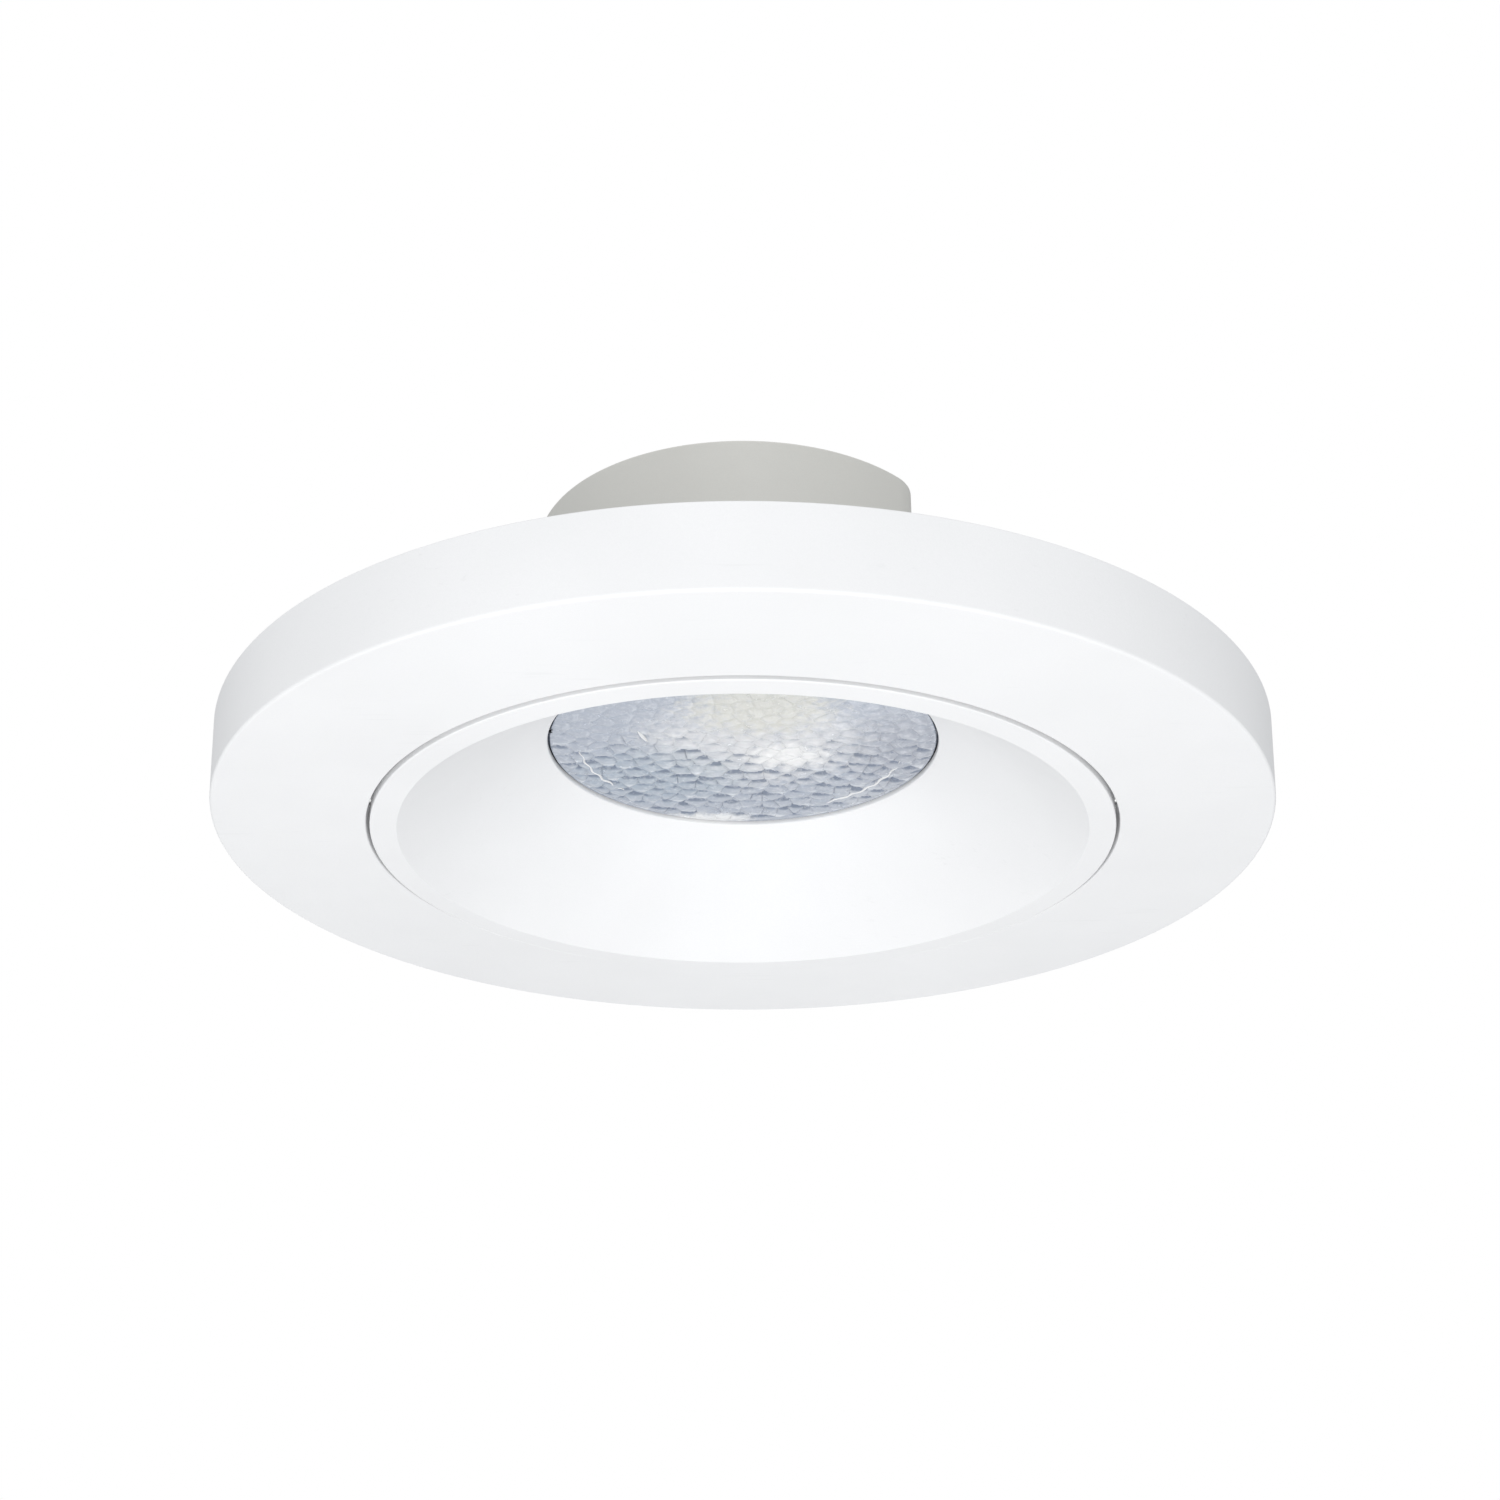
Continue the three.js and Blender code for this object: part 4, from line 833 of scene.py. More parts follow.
# --- mounting plate ---
def mounting_plate():
    """A stamped ring with two screw slots and three bayonet hooks bent down from its edge."""
    ring = turned(band(PLATE_IN_R, PLATE_OUT_R, -PLATE_THICK, 0, SHEET_EDGES, SHEET_EDGES))
    leg_in, leg_out, leg_top = PLATE_OUT_R - PLATE_THICK, PLATE_OUT_R - HAIR, -0.4
    legs = [prism(sector(leg_in, leg_out, HOOK_HALF_DEG, d), PLATE_FOOT_Z, leg_top) for d in HOOK_DEGS]
    ring = with_added(ring, legs)
    foot_in, foot_out, foot_half = leg_in + HAIR, TRIM_WALL_IN_R - RUN_GAP, HOOK_HALF_DEG - HAIR
    foot_low, foot_top = PLATE_FOOT_Z + HAIR / 2, PLATE_FOOT_Z + PLATE_THICK
    feet = [prism(sector(foot_in, foot_out, foot_half, d), foot_low, foot_top) for d in HOOK_DEGS]
    ring = with_added(ring, feet)
    slot_r = (PLATE_IN_R + PLATE_OUT_R) / 2
    outline = rounded_rect(SLOT_WIDTH, SLOT_LENGTH, SLOT_WIDTH / 2 - 0.1)
    slots = [moved(prism(outline, -3, OVERCUT), slot_r, turn=d) for d in SIDES.values()]
    return with_removed(ring, slots)


# --- retaining clips ---
def retaining_clip(degrees):
    """A strip with round corners, a stiffening rib near its tip and a screw hole."""
    middle, length = (CLIP_END_R + CLIP_TIP_R) / 2, CLIP_END_R - CLIP_TIP_R
    z, top = clip_low.z, clip_low.z + CLIP_THICK
    strip = prism(rounded_rect(length, CLIP_WIDTH, 1.5, middle), z, top, 0.12)
    rib_x, rib_length, rib_corner = CLIP_TIP_R + 3, 4, 0.5
    rib_outline = rounded_rect(rib_length, CLIP_RIB_WIDTH, rib_corner, rib_x)
    rib = prism(rib_outline, top - MERGE, clip_high.z, SHEET_EDGE)
    clip = bored(with_added(strip, [rib]), CLIP_HOLE_R, z - OVERCUT, 0, [(CLIP_SCREW_R, 0)])
    return moved(clip, turn=degrees)


# --- pan ring ---
def pan_ring():
    """A flat ring with a stop tab and two ears bent up from it, each leaving a window behind it."""
    inner = HUB_R + RUN_GAP
    ring = turned(band(inner, PAN_FLANGE_R, PAN_Z, PAN_TOP_Z, SHEET_EDGES, SHEET_EDGES))
    ear_in = inner + 0.05
    ear_out = ear_in + PAN_THICK
    tab_outline = sector(PAN_FLANGE_R - OVERCUT, PAN_FLANGE_R + PAN_TAB_REACH, PAN_STOP_HALF_DEG)
    ring = with_added(ring, [prism(tab_outline, PAN_Z + HAIR / 2, PAN_TOP_Z - HAIR / 2)])
    degrees = SIDES.values()
    ring = with_added(ring, [moved(ear(ear_in, ear_out, PAN_Z + HAIR), turn=d) for d in degrees])
    window_out, low, high = PAN_FLANGE_R - WINDOW_MARGIN, PAN_Z - OVERCUT, PAN_TOP_Z + OVERCUT
    windows = [moved(block(ear_out, window_out, -EAR_HALF_WIDTH, EAR_HALF_WIDTH, low, high), turn=d)
               for d in degrees]
    ring = with_removed(ring, windows)
    holes = [moved(pivot_hole(ear_in - OVERCUT, ear_out + OVERCUT), turn=d) for d in degrees]
    return with_removed(ring, holes)


# --- bezel and reflector cone ---
def reflector_cone():
    """One moulding: the bezel, the conical recess, two pivot ears and the flange for the heat sink."""
    lip_top = LIP_Z + LIP_THICK
    slope = (MOUTH_R - APERTURE_R) / (APERTURE_Z - LIP_Z)
    offset = CONE_WALL * math.hypot(1, slope)

    def outer_r(z):
        return APERTURE_R + (APERTURE_Z - z) * slope + offset

    mouth_edge = 0.18
    seat_r = LENS_R + RUN_GAP
    seat_z = seal_low.z - PRESS_GAP
    profile = filleted([
        (MOUTH_R, LIP_Z, mouth_edge), (LIP_R, LIP_Z, FINE_EDGE), (LIP_R, lip_top, SOFT_EDGE),
        (outer_r(lip_top), lip_top, CONE_FILLET), (outer_r(FLANGE_Z), FLANGE_Z, CONE_FILLET),
        (CONE_FLANGE_R, FLANGE_Z, ROUND_EDGE), (CONE_FLANGE_R, FLANGE_TOP_Z, ROUND_EDGE),
        (seat_r, FLANGE_TOP_Z, SOFT_EDGE), (seat_r, seat_z),
        (APERTURE_R, seat_z), (APERTURE_R, APERTURE_Z, ROUND_EDGE),
    ])
    cone = turned(profile)
    degrees = SIDES.values()
    ears = [moved(ear(LAMP_EAR_IN_R, LAMP_EAR_OUT_R, lip_top - MERGE), turn=d) for d in degrees]
    cone = with_added(cone, ears)
    hole_in, hole_out = LAMP_EAR_IN_R - OVERCUT, LAMP_EAR_OUT_R + RUN_GAP
    cone = with_removed(cone, [moved(pivot_hole(hole_in, hole_out), turn=d) for d in degrees])
    low, high = FLANGE_Z - OVERCUT, FLANGE_TOP_Z + OVERCUT
    return bored(cone, SCREW_HOLE_R, low, high, on_circle(CONE_SCREW_R, HOOK_DEGS))


# --- pivots ---
def pivot_pin():
    """A headed pin with a groove near its end for the E-clip."""
    head_x, end_x = pin_low.x, pin_high.x
    clip_x, clip_end = pin_clip_low.x - PRESS_GAP, pin_clip_high.x + PRESS_GAP
    head_r, pin_r, groove_r, end_edge = (pin_high.z - pin_low.z) / 2, 1.2, 0.9, 0.25
    shank_x = LAMP_EAR_IN_R - PRESS_GAP
    profile = filleted([
        (0.3, head_x), (head_r, head_x, SOFT_EDGE), (head_r, shank_x, TINY_EDGE),
        (pin_r, shank_x, TINY_EDGE), (pin_r, clip_x), (groove_r, clip_x), (groove_r, clip_end),
        (pin_r, clip_end), (pin_r, end_x, end_edge), (0.2, end_x),
    ], 3)
    return along_x(solid_turned(profile, SMALL), PIVOT_Z)


def pivot_washer():
    """A spring washer with three waves."""
    low, high = washer_low.x, washer_high.x
    thick, waves = 0.3, 3
    wave = (high - low - thick) / 2
    inner, outer = 1.4, (washer_high.z - washer_low.z) / 2
    bm = bmesh.new()
    loops = []
    for radius, lift in ((inner, 0), (outer, 0), (outer, thick), (inner, thick)):
        loop = []
        for k in range(SMALL):
            angle = 2 * math.pi * k / SMALL
            z = low + wave * (1 + math.cos(waves * angle)) + lift
            place = Vector((radius * math.cos(angle), radius * math.sin(angle), z))
            loop.append(bm.verts.new(place * MM))
        loops.append(loop)
    for lower, upper in zip(loops, loops[1:] + loops[:1]):
        for k in range(SMALL):
            n = (k + 1) % SMALL
            bm.faces.new((lower[k], lower[n], upper[n], upper[k]))
    return along_x(finished(bm), PIVOT_Z)


def pivot_clip():
    """An E-clip: a ring with an opening on its near side and two notches in its bore."""
    outer = (pin_clip_high.z - pin_clip_low.z) / 2
    low, high = pin_clip_low.x, pin_clip_high.x
    bore, half_mouth, notch_r, notch_x, notch_y = 1.0, 0.9, 0.4, 0.75, 0.9
    edges = (TINY_EDGE / 2, TINY_EDGE)
    profile = band(bore, outer, low, high, edges, edges, 2)
    below, above = low - OVERCUT, high + OVERCUT
    mouth = block(-half_mouth, half_mouth, -outer - OVERCUT, 0, below, above)
    ring = with_removed(turned(profile, SMALL), [mouth])
    notches = [moved(disc(notch_r, below, above, 16), x, notch_y) for x in (-notch_x, notch_x)]
    return along_x(with_removed(ring, notches), PIVOT_Z)


# --- lens ---
def clipped(polygon, point, normal):
    """The part of a convex polygon on the side of a line that the normal points away from."""
    kept = []
    for k, here in enumerate(polygon):
        after = polygon[(k + 1) % len(polygon)]
        d_here, d_after = (here - point).dot(normal), (after - point).dot(normal)
        if d_here <= 0:
            kept.append(here)
        if (d_here < 0) != (d_after < 0) and abs(d_here - d_after) > 1e-12:
            kept.append(here.lerp(after, d_here / (d_here - d_after)))
    return kept


def cell_centres(radius, pitch):
    """Cell seeds in rings round the centre, each ring a little uneven, as moulded pebbling is."""
    noise.seed_set(CELL_SEED)
    seeds = [Vector((0, 0))]
    rings = round(radius / pitch)
    for ring in range(1, rings + 1):
        reach = (ring - 0.25) * radius / rings
        count = round(2 * math.pi * reach / pitch)
        for k in range(count):
            angle = (k + 0.5 * (ring % 2)) * 2 * math.pi / count + 0.3 * ring
            seed = Vector((reach * math.cos(angle), reach * math.sin(angle)))
            drift = noise.noise_vector(Vector((seed.x * 1.7, seed.y * 1.7, 3.0))) * pitch * 0.8
            seeds.append(seed + drift.to_2d())
    return seeds


def lens_cells(field_r):
    pitch = field_r * math.sqrt(math.pi / CELL_COUNT)
    seeds = cell_centres(field_r, pitch)
    cells = []
    for seed in seeds:
        near = [s for s in seeds if s is not seed and (s - seed).length < 2.6 * pitch]
        cell = [seed + corner for corner in rounded_rect(6 * pitch, 6 * pitch, pitch, steps=1)]
        for other in near:
            cell = clipped(cell, (seed + other) / 2, other - seed)
        for corner in circle(field_r, ROUND):
            if (corner - seed).length < 3 * pitch:
                cell = clipped(cell, corner, corner)
        cells.append((seed, cell))
    return cells


def bead(points, radius):
    """A thin bead that follows points on the lens, with its slope mark set for a painted highlight along
    one side and painted shade along the other.
    """
    sides = 8
    bm = bmesh.new()
    slope = bm.verts.layers.float.new("slope")
    loops = []
    for k, here in enumerate(points):
        along = (points[min(k + 1, len(points) - 1)] - points[max(k - 1, 0)]).normalized()
        across = Vector((along.y, -along.x, 0))
        thin = radius * max(0.15, math.sin(math.pi * k / (len(points) - 1)) ** 0.5)
        loop = []
        for n in range(sides):
            angle = 2 * math.pi * n / sides
            offset = across * math.cos(angle) * thin + Vector((0, 0, math.sin(angle) * thin))
            v = bm.verts.new((here + offset) * MM)
            # Painted light and shade: 2.6 paints this side white as a highlight, -2.0 paints the other
            # side dark
            v[slope] = 2.6 if offset.dot(here) < 0 else -2.0
            loop.append(v)
        loops.append(loop)
    bm.faces.new(loops[0])
    bm.faces.new(loops[-1])
    for lower, upper in zip(loops, loops[1:]):
        for n in range(sides):
            m = (n + 1) % sides
            bm.faces.new((lower[n], lower[m], upper[m], upper[n]))
    return finished(bm)


def lens_beads(height):
    """Two short wavy flow lines near the lens's edge and one small mark on its left."""
    beads = []
    for start, end in ((12, 64), (138, 177)):
        points = []
        for k in range(41):
            degrees = start + (end - start) * k / 40
            reach = LENS_R * 0.797 + 0.16 * math.sin(degrees * 0.8)
            x, y = on_circle(reach, [degrees])[0]
            points.append(Vector((x, y, height)))
        beads.append(bead(points, 0.2))
    mark = [Vector((-13.3 + 0.3 * k, -4.4 + 0.75 * k, height)) for k in range(5)]
    return beads + [bead(mark, 0.3)]


def lens_mesh():
    """A disc whose front is a field of pillow cells inside a plain rim, above a stepped flange."""
    front_r = APERTURE_R - RUN_GAP
    field_r = front_r - 0.35
    front_z = lens_low.z + CELL_RISE
    bm = bmesh.new()
    slope = bm.verts.layers.float.new("slope")
    shares = (1.0, 0.9, 0.72, 0.48, 0.24)

    def vertex(p, seed, bulge):
        fade = min(1.0, max(0.0, (field_r - p.length) / 0.8))
        strength = 0.25 + 0.75 * min(1.0, max(0.0, (p.y + 8) / 12))
        v = bm.verts.new((p.x * MM, p.y * MM, (front_z - CELL_RISE * bulge * fade * strength) * MM))
        # Slope mark for painted light and shade: the far side of each cell is painted lighter and the
        # near side darker, more strongly towards the far side
        v[slope] = (p.y - seed.y) / 1.1 * strength
        return v

    for seed, cell in lens_cells(field_r):
        outline = []
        for k, here in enumerate(cell):
            after = cell[(k + 1) % len(cell)]
            steps = max(1, round((after - here).length / 0.5))
            outline += [here.lerp(after, n / steps) for n in range(steps)]
        loops = []
        for share in shares:
            bulge = math.sqrt(max(0.0, 1 - share ** 2))
            loops.append([vertex(seed.lerp(p, share), seed, bulge) for p in outline])
        top = vertex(seed, seed, 1.0)
        for outer, inner in zip(loops, loops[1:]):
            for k in range(len(outer)):
                n = (k + 1) % len(outer)
                bm.faces.new((outer[k], outer[n], inner[n], inner[k]))
        for k in range(len(loops[-1])):
            bm.faces.new((loops[-1][k], loops[-1][(k + 1) % len(loops[-1])], top))
    bmesh.ops.remove_doubles(bm, verts=bm.verts, dist=0.02 * MM)
    loop = [e for e in bm.edges if len(e.link_faces) == 1]
    step_z = seal_high.z + PRESS_GAP
    rim = [(front_r, front_z), (front_r, step_z), (LENS_R, step_z), (LENS_R, lens_high.z)]
    for radius, height in rim:
        grown = bmesh.ops.extrude_edge_only(bm, edges=loop)
        for v in [v for v in grown["geom"] if isinstance(v, bmesh.types.BMVert)]:
            direction = Vector((v.co.x, v.co.y, 0)).normalized()
            v.co = direction * radius * MM + Vector((0, 0, height * MM))
            # Painted shade: the plain rim and the flange walls are marked to be painted dark
            v[slope] = -1.0
        loop = [e for e in grown["geom"] if isinstance(e, bmesh.types.BMEdge)]
    bmesh.ops.contextual_create(bm, geom=loop)
    return joined([finished(bm)] + lens_beads(front_z - 0.5 * CELL_RISE))


def lens_seal():
    inner, outer = APERTURE_R + PRESS_GAP, seal_high.x
    edges = (SOFT_EDGE, TINY_EDGE)
    return turned(band(inner, outer, seal_low.z, seal_high.z, edges, edges), ROUND)


# --- optic behind the lens ---
def optic_bowl():
    """A thin metallised bowl with a flat rim, wide at the lens and narrow at the chip."""
    mouth, throat = Vector((OPTIC_MOUTH_R, optic_low.z)), Vector((OPTIC_THROAT_R, optic_high.z))
    bend = Vector((OPTIC_MOUTH_R - 6, optic_high.z - 1.4))
    steps = 14
    curve = geometry.interpolate_bezier(
        mouth, mouth.lerp(bend, 2 / 3), throat.lerp(bend, 2 / 3), throat, steps)
    inside = [p.to_2d() for p in curve]
    rim_top, rim_r = optic_low.z + OPTIC_WALL, OPTIC_MOUTH_R + OPTIC_WALL
    outside = [Vector((p.x + OPTIC_WALL, p.y + OPTIC_WALL / 2)) for p in inside[1:-1]]
    rim = [Vector((LENS_R, optic_low.z)), Vector((LENS_R, rim_top)), Vector((rim_r, rim_top))]
    throat_edge = [Vector((OPTIC_THROAT_R + OPTIC_WALL, optic_high.z))]
    return turned(rim + outside + throat_edge + inside[::-1], ROUND)


def phosphor_dome():
    """A shallow dome in nine steps of ten degrees above a short straight edge."""
    radius, base = phosphor_high.x, phosphor_high.z
    edge = 0.05
    depth = base - phosphor_low.z
    curve = [Vector((radius * math.cos(a), base - edge - (depth - edge) * math.sin(a)))
             for a in [k * math.pi / 18 for k in range(9)]]
    return solid_turned([Vector((radius, base))] + curve, ROUND)


# --- heat sink ---
def heat_sink():
    """A turned aluminium cup with upright fins and three screw bosses round its skirt."""
    skirt_in = LENS_R + 0.6
    base_z = SINK_TOP - SINK_BASE_THICK
    core = 2
    profile = filleted([
        (core, base_z), (skirt_in, base_z, 1.0), (skirt_in, SINK_Z, SOFT_EDGE),
        (SINK_R, SINK_Z, ROUND_EDGE), (SINK_R, SINK_TOP, CONE_FILLET), (core, SINK_TOP),
    ])
    cup = solid_turned(profile, ROUND)
    length = FIN_R - SINK_R + OVERCUT
    outline = rounded_rect(length, FIN_THICK, ROUND_EDGE, FIN_R - length / 2)
    fins = [moved(prism(outline, SINK_Z + 0.5, FIN_TOP_Z, SOFT_EDGE),
                  turn=FIN_PHASE_DEG + 360 * k / FIN_COUNT) for k in range(FIN_COUNT)]
    cup = with_added(cup, fins)
    boss_top = SINK_Z + SINK_BOSS_HEIGHT
    bosses = [at_polar(disc(BOSS_R, SINK_Z + HAIR, boss_top, edge=SOFT_EDGE), CONE_SCREW_R, d)
              for d in HOOK_DEGS]
    cup = with_added(cup, bosses)
    bores = on_circle(CONE_SCREW_R, HOOK_DEGS)
    cup = bored(cup, SCREW_HOLE_R, SINK_Z - OVERCUT, boss_top - OVERCUT, bores)
    cup = bored(cup, LEAD_HOLE_R, base_z - OVERCUT, SINK_TOP + OVERCUT, [(0, LEAD_HOLE_Y)])
    housing_bores = on_circle(HOUSING_SCREW_R, HOUSING_SCREW_DEGS)
    return bored(cup, SCREW_HOLE_R, SINK_TOP - 2, SINK_TOP + OVERCUT, housing_bores)


# --- driver housing ---
def driver_housing():
    """A can with one flat side, open at the top, with cover posts and board standoffs inside."""
    inner = CAN_R - CAN_WALL
    core = inner - 3
    floor_z = CAN_Z + CAN_FLOOR
    profile = filleted([
        (core, CAN_Z), (CAN_R, CAN_Z, CAST_FILLET), (CAN_R, CAN_TOP, 0.35),
        (inner, CAN_TOP, SOFT_EDGE), (inner, floor_z, 0.4), (core, floor_z),
    ])
    can = swept([(can_outline(p.x), p.y) for p in profile], closed=False)
    foot, post_top = floor_z - MERGE, cover_low.z - PRESS_GAP
    posts = [at_polar(disc(POST_R, foot, post_top), POST_AT_R, d) for d in POST_DEGS]
    standoffs = [moved(disc(STANDOFF_R, foot, board_low.z - PRESS_GAP), x, y) for x, y in STANDOFFS]
    can = with_added(can, posts + standoffs)
    can = bored(can, SCREW_HOLE_R, post_top - 6, post_top + OVERCUT, on_circle(POST_AT_R, POST_DEGS))
    can = bored(can, SCREW_HOLE_R, foot, board_low.z + OVERCUT, STANDOFFS)
    below, above = CAN_Z - OVERCUT, floor_z + OVERCUT
    can = bored(can, SCREW_HOLE_R, below, above, on_circle(HOUSING_SCREW_R, HOUSING_SCREW_DEGS))
    can = bored(can, LEAD_HOLE_R, below, above, [(0, LEAD_HOLE_Y)])
    inlet = along_x(disc(INLET_HOLE_R, CAN_FLAT_X - 3, CAN_FLAT_X + OVERCUT), INLET_Z)
    return with_removed(can, [inlet])


def rear_cover():
    """A lid that drops into the can, with a stepped hole for each of its three screws."""
    wall_line = CAN_R - CAN_WALL - 0.15
    core = wall_line - 2
    low, high = cover_low.z, cover_high.z
    profile = filleted([(core, low), (wall_line, low, SOFT_EDGE),
                        (wall_line, high, ROUND_EDGE), (core, high)])
    lid = swept([(can_outline(p.x), p.y) for p in profile], closed=False)
    places = on_circle(POST_AT_R, POST_DEGS)
    lid = bored(lid, SCREW_HOLE_R, low - OVERCUT, high + OVERCUT, places)
    return bored(lid, COVER_RECESS_R, high - 1, high + OVERCUT, places)


def inlet_grommet():
    """A bush with a round rim outside the wall, a neck in its hole and a thin lip inside it."""
    clear = 0.15
    inside, outside = CAN_FLAT_X - CAN_WALL - clear, CAN_FLAT_X + clear
    neck = INLET_HOLE_R - clear
    low, high = grommet_low.x, grommet_high.x
    profile = filleted([
        (GROMMET_BORE_R, low, ROUND_EDGE), (4.3, low, ROUND_EDGE), (4.4, inside, TINY_EDGE),
        (neck, inside), (neck, outside), (GROMMET_RIM_R, outside, SHEET_EDGE),
        (5.35, high, CAST_FILLET), (GROMMET_BORE_R, high, ROUND_EDGE),
    ])
    return along_x(turned(profile, SMALL), INLET_Z)


# --- set ---
FLOOR_Z = -0.9
CAMERA_DISTANCE = 0.273
CAMERA_BELOW_DEG = 22.6
LENS_MM = 52.46


def floor():
    side = 4.0
    bm = bmesh.new()
    bmesh.ops.create_grid(bm, x_segments=8, y_segments=8, size=side)
    mesh = finished(bm, "floor")
    mesh.transform(Matrix.Translation((0, 0, FLOOR_Z)))
    graph = Graph("floor_paint")
    tone = graph.mix(graph.spread(graph.noise(180, 3), 0, 1), rgb(0.84, 0.84, 0.84), rgb(0.8, 0.8, 0.8))
    graph.set(Base_Color=tone, Roughness=0.8)
    graph.bump([(graph.noise(4, 3), 0.05)])
    mesh.materials.append(graph.material)
    thing = bpy.data.objects.new("floor", mesh)
    bpy.context.scene.collection.objects.link(thing)


def backdrop():
    """A white surround that lights the scene more softly than it looks."""
    world = bpy.data.worlds.new("surround")
    bpy.context.scene.world = world
    world.use_nodes = True
    nodes, links = world.node_tree.nodes, world.node_tree.links
    nodes.clear()
    path = nodes.new("ShaderNodeLightPath")
    seen = nodes.new("ShaderNodeBackground")
    light = nodes.new("ShaderNodeBackground")
    seen.inputs["Color"].default_value = rgb(1, 1, 1)
    light.inputs["Color"].default_value = rgb(0.96, 0.98, 1.0)
    light.inputs["Strength"].default_value = 0.61
    both = nodes.new("ShaderNodeMixShader")
    out = nodes.new("ShaderNodeOutputWorld")
    links.new(path.outputs["Is Camera Ray"], both.inputs[0])
    links.new(light.outputs[0], both.inputs[1])
    links.new(seen.outputs[0], both.inputs[2])
    links.new(both.outputs[0], out.inputs["Surface"])


def aimed(lamp, place, aim):
    lamp.location = place
    lamp.rotation_euler = (Vector(aim) - Vector(place)).to_track_quat("-Z", "Y").to_euler()
    lamp.visible_camera = False
    bpy.context.scene.collection.objects.link(lamp)


def soft_light(name, place, aim, side, power):
    data = bpy.data.lights.new(name, "AREA")
    data.shape = "DISK"
    data.size = side
    data.energy = power
    aimed(bpy.data.objects.new(name, data), place, aim)


def narrow_light(name, place, aim, radius, power):
    """A soft spot whose beam is a little wider than the lens."""
    data = bpy.data.lights.new(name, "SPOT")
    data.energy = power
    data.shadow_soft_size = radius
    data.spot_size = math.radians(11)
    data.spot_blend = 1.0
    aimed(bpy.data.objects.new(name, data), place, aim)


def camera():
    below = math.radians(CAMERA_BELOW_DEG)
    tip, yaw, roll = math.radians(25.1), math.radians(-0.2), math.radians(-0.1)
    data = bpy.data.cameras.new("camera")
    data.lens = LENS_MM
    data.sensor_width = 36.0
    data.clip_start = 0.01
    thing = bpy.data.objects.new("camera", data)
    back = Vector((0, -math.cos(below), -math.sin(below))) * CAMERA_DISTANCE
    turn = Matrix.Rotation(yaw, 4, "Z") @ Matrix.Rotation(math.pi / 2 + tip, 4, "X")
    turn = turn @ Matrix.Rotation(roll, 4, "Z")
    thing.matrix_world = Matrix.Translation(back + Vector((0, 0, FACE_Z * MM))) @ turn
    bpy.context.scene.collection.objects.link(thing)
    bpy.context.scene.camera = thing


def add_fixed_parts():
    piece("mounting_plate", mounting_plate(), "mount")


def add_trim_parts():
    piece("trim_ring", trim_ring(), "trim")
    piece("ceiling_gasket", ceiling_gasket(), "trim")
    for k, degrees in enumerate(CLIP_DEGS, 1):
        piece(f"retaining_clip_{k}", retaining_clip(degrees), "trim")
        screw = moved(pan_head_screw(1.9, 1.3, 3.8, cross=True), z=clip_low.z + CLIP_THICK + PRESS_GAP)
        piece(f"clip_screw_{k}", at_polar(screw, CLIP_SCREW_R, degrees), "trim")


def add_carrier_parts():
    piece("pan_ring", pan_ring(), "carrier")
    for side, degrees in SIDES.items():
        piece(f"pivot_washer_{side}", moved(pivot_washer(), turn=degrees), "carrier")


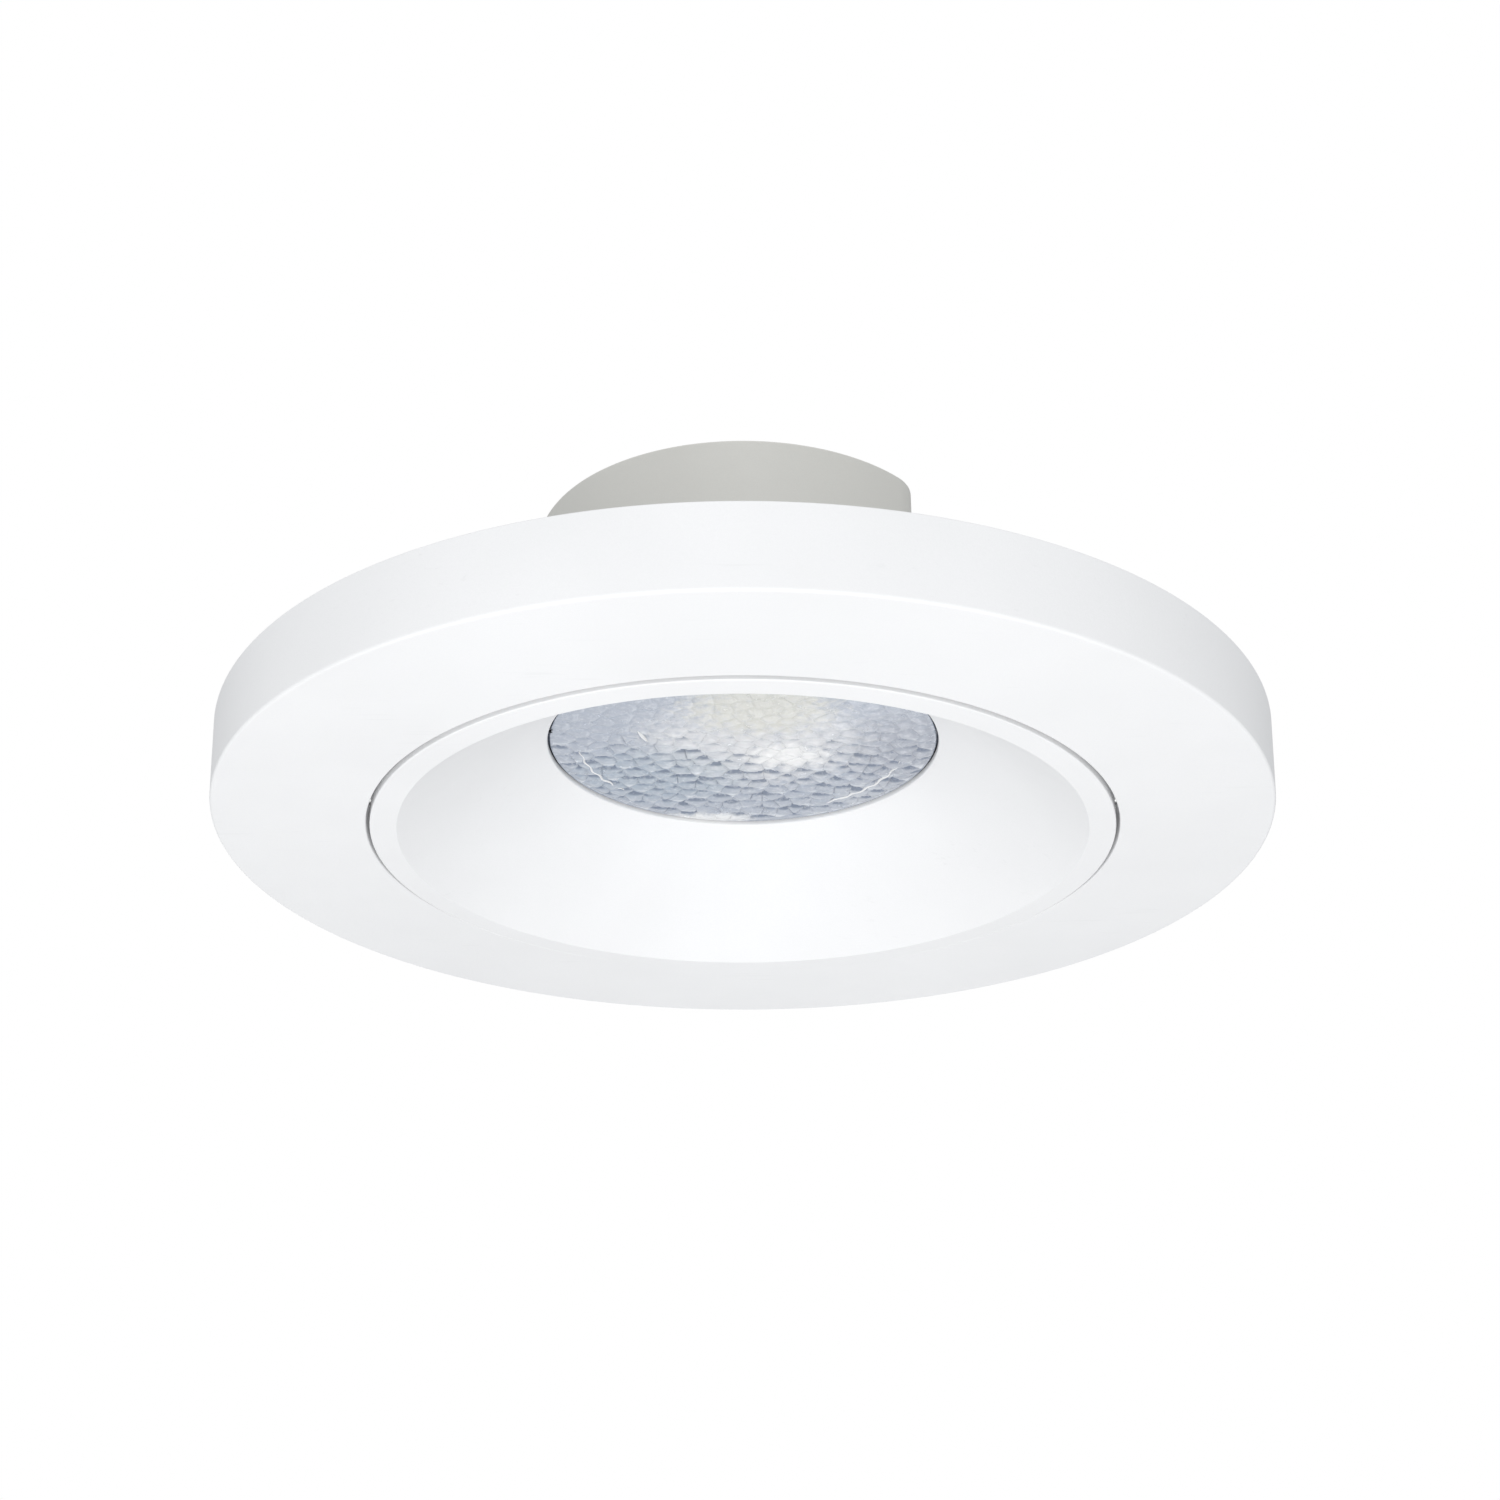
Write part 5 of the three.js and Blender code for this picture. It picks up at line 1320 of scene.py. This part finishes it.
def add_lamp_parts():
    piece("reflector_cone", reflector_cone(), "lamp")
    for side, degrees in SIDES.items():
        piece(f"pivot_pin_{side}", moved(pivot_pin(), turn=degrees), "lamp")
        piece(f"pivot_clip_{side}", moved(pivot_clip(), turn=degrees), "lamp")
    for k, degrees in enumerate(HOOK_DEGS, 1):
        screw = moved(upside_down(pan_head_screw(1.6, 1.2, 8)), z=FLANGE_Z - PRESS_GAP)
        piece(f"cone_screw_{k}", at_polar(screw, CONE_SCREW_R, degrees), "lamp")
    for k in (1, 2):
        low, high = box_mm(f"holder_screw_{k}")
        screw = moved(upside_down(pan_head_screw(1.6, 1, 3.2, cross=True)), z=low.z + 1)
        piece(f"holder_screw_{k}", moved(screw, (low.x + high.x) / 2, (low.y + high.y) / 2), "lamp")
    piece("lens", lens_mesh(), "lamp", angle=60)
    piece("lens_seal", lens_seal(), "lamp")
    piece("optic_reflector", optic_bowl(), "lamp")
    piece("cob_phosphor", phosphor_dome(), "lamp")
    piece("heat_sink", heat_sink(), "lamp")


def add_driver_parts():
    piece("driver_housing", driver_housing(), "lamp")
    piece("rear_cover", rear_cover(), "lamp")
    piece("inlet_grommet", inlet_grommet(), "lamp")
    for k, degrees in enumerate(POST_DEGS, 1):
        screw = moved(pan_head_screw(1.7, 0.8, 5, cross=True), z=cover_high.z - COVER_SCREW_SINK)
        piece(f"cover_screw_{k}", at_polar(screw, POST_AT_R, degrees), "lamp")
    for k, degrees in enumerate(HOUSING_SCREW_DEGS, 1):
        screw = moved(pan_head_screw(1.7, 1, 3), z=CAN_Z + CAN_FLOOR + PRESS_GAP)
        piece(f"housing_screw_{k}", at_polar(screw, HOUSING_SCREW_R, degrees), "lamp")
    for k in (1, 2):
        low, high = box_mm(f"board_screw_{k}")
        screw = moved(pan_head_screw(1.6, 1, 3, cross=True), z=high.z - 1)
        piece(f"board_screw_{k}", moved(screw, (low.x + high.x) / 2, (low.y + high.y) / 2), "lamp")


camera()
backdrop()
floor()
middle = (0, 0, FACE_Z * MM)
soft_light("beside_camera", (0.0, -0.6, -0.27), middle, 0.3, 0.27)
soft_light("below_near", (-0.02, -0.3, -0.38), middle, 0.3, 1.0)
soft_light("below_left", (-0.4, -0.1, -0.42), middle, 0.4, 0.6)
soft_light("below_right", (0.4, -0.1, -0.42), middle, 0.4, 0.5)
soft_light("above", (0.0, -0.6, 0.6), middle, 0.4, 1.8)
narrow_light("glint", (0.02, 0.385, -0.175), (0.005, 0.003, APERTURE_Z * MM), 0.05, 0.4)

dress_cad_nodes()
add_fixed_parts()
add_trim_parts()
add_carrier_parts()
add_lamp_parts()
add_driver_parts()

bpy.context.scene.view_settings.view_transform = "Standard"
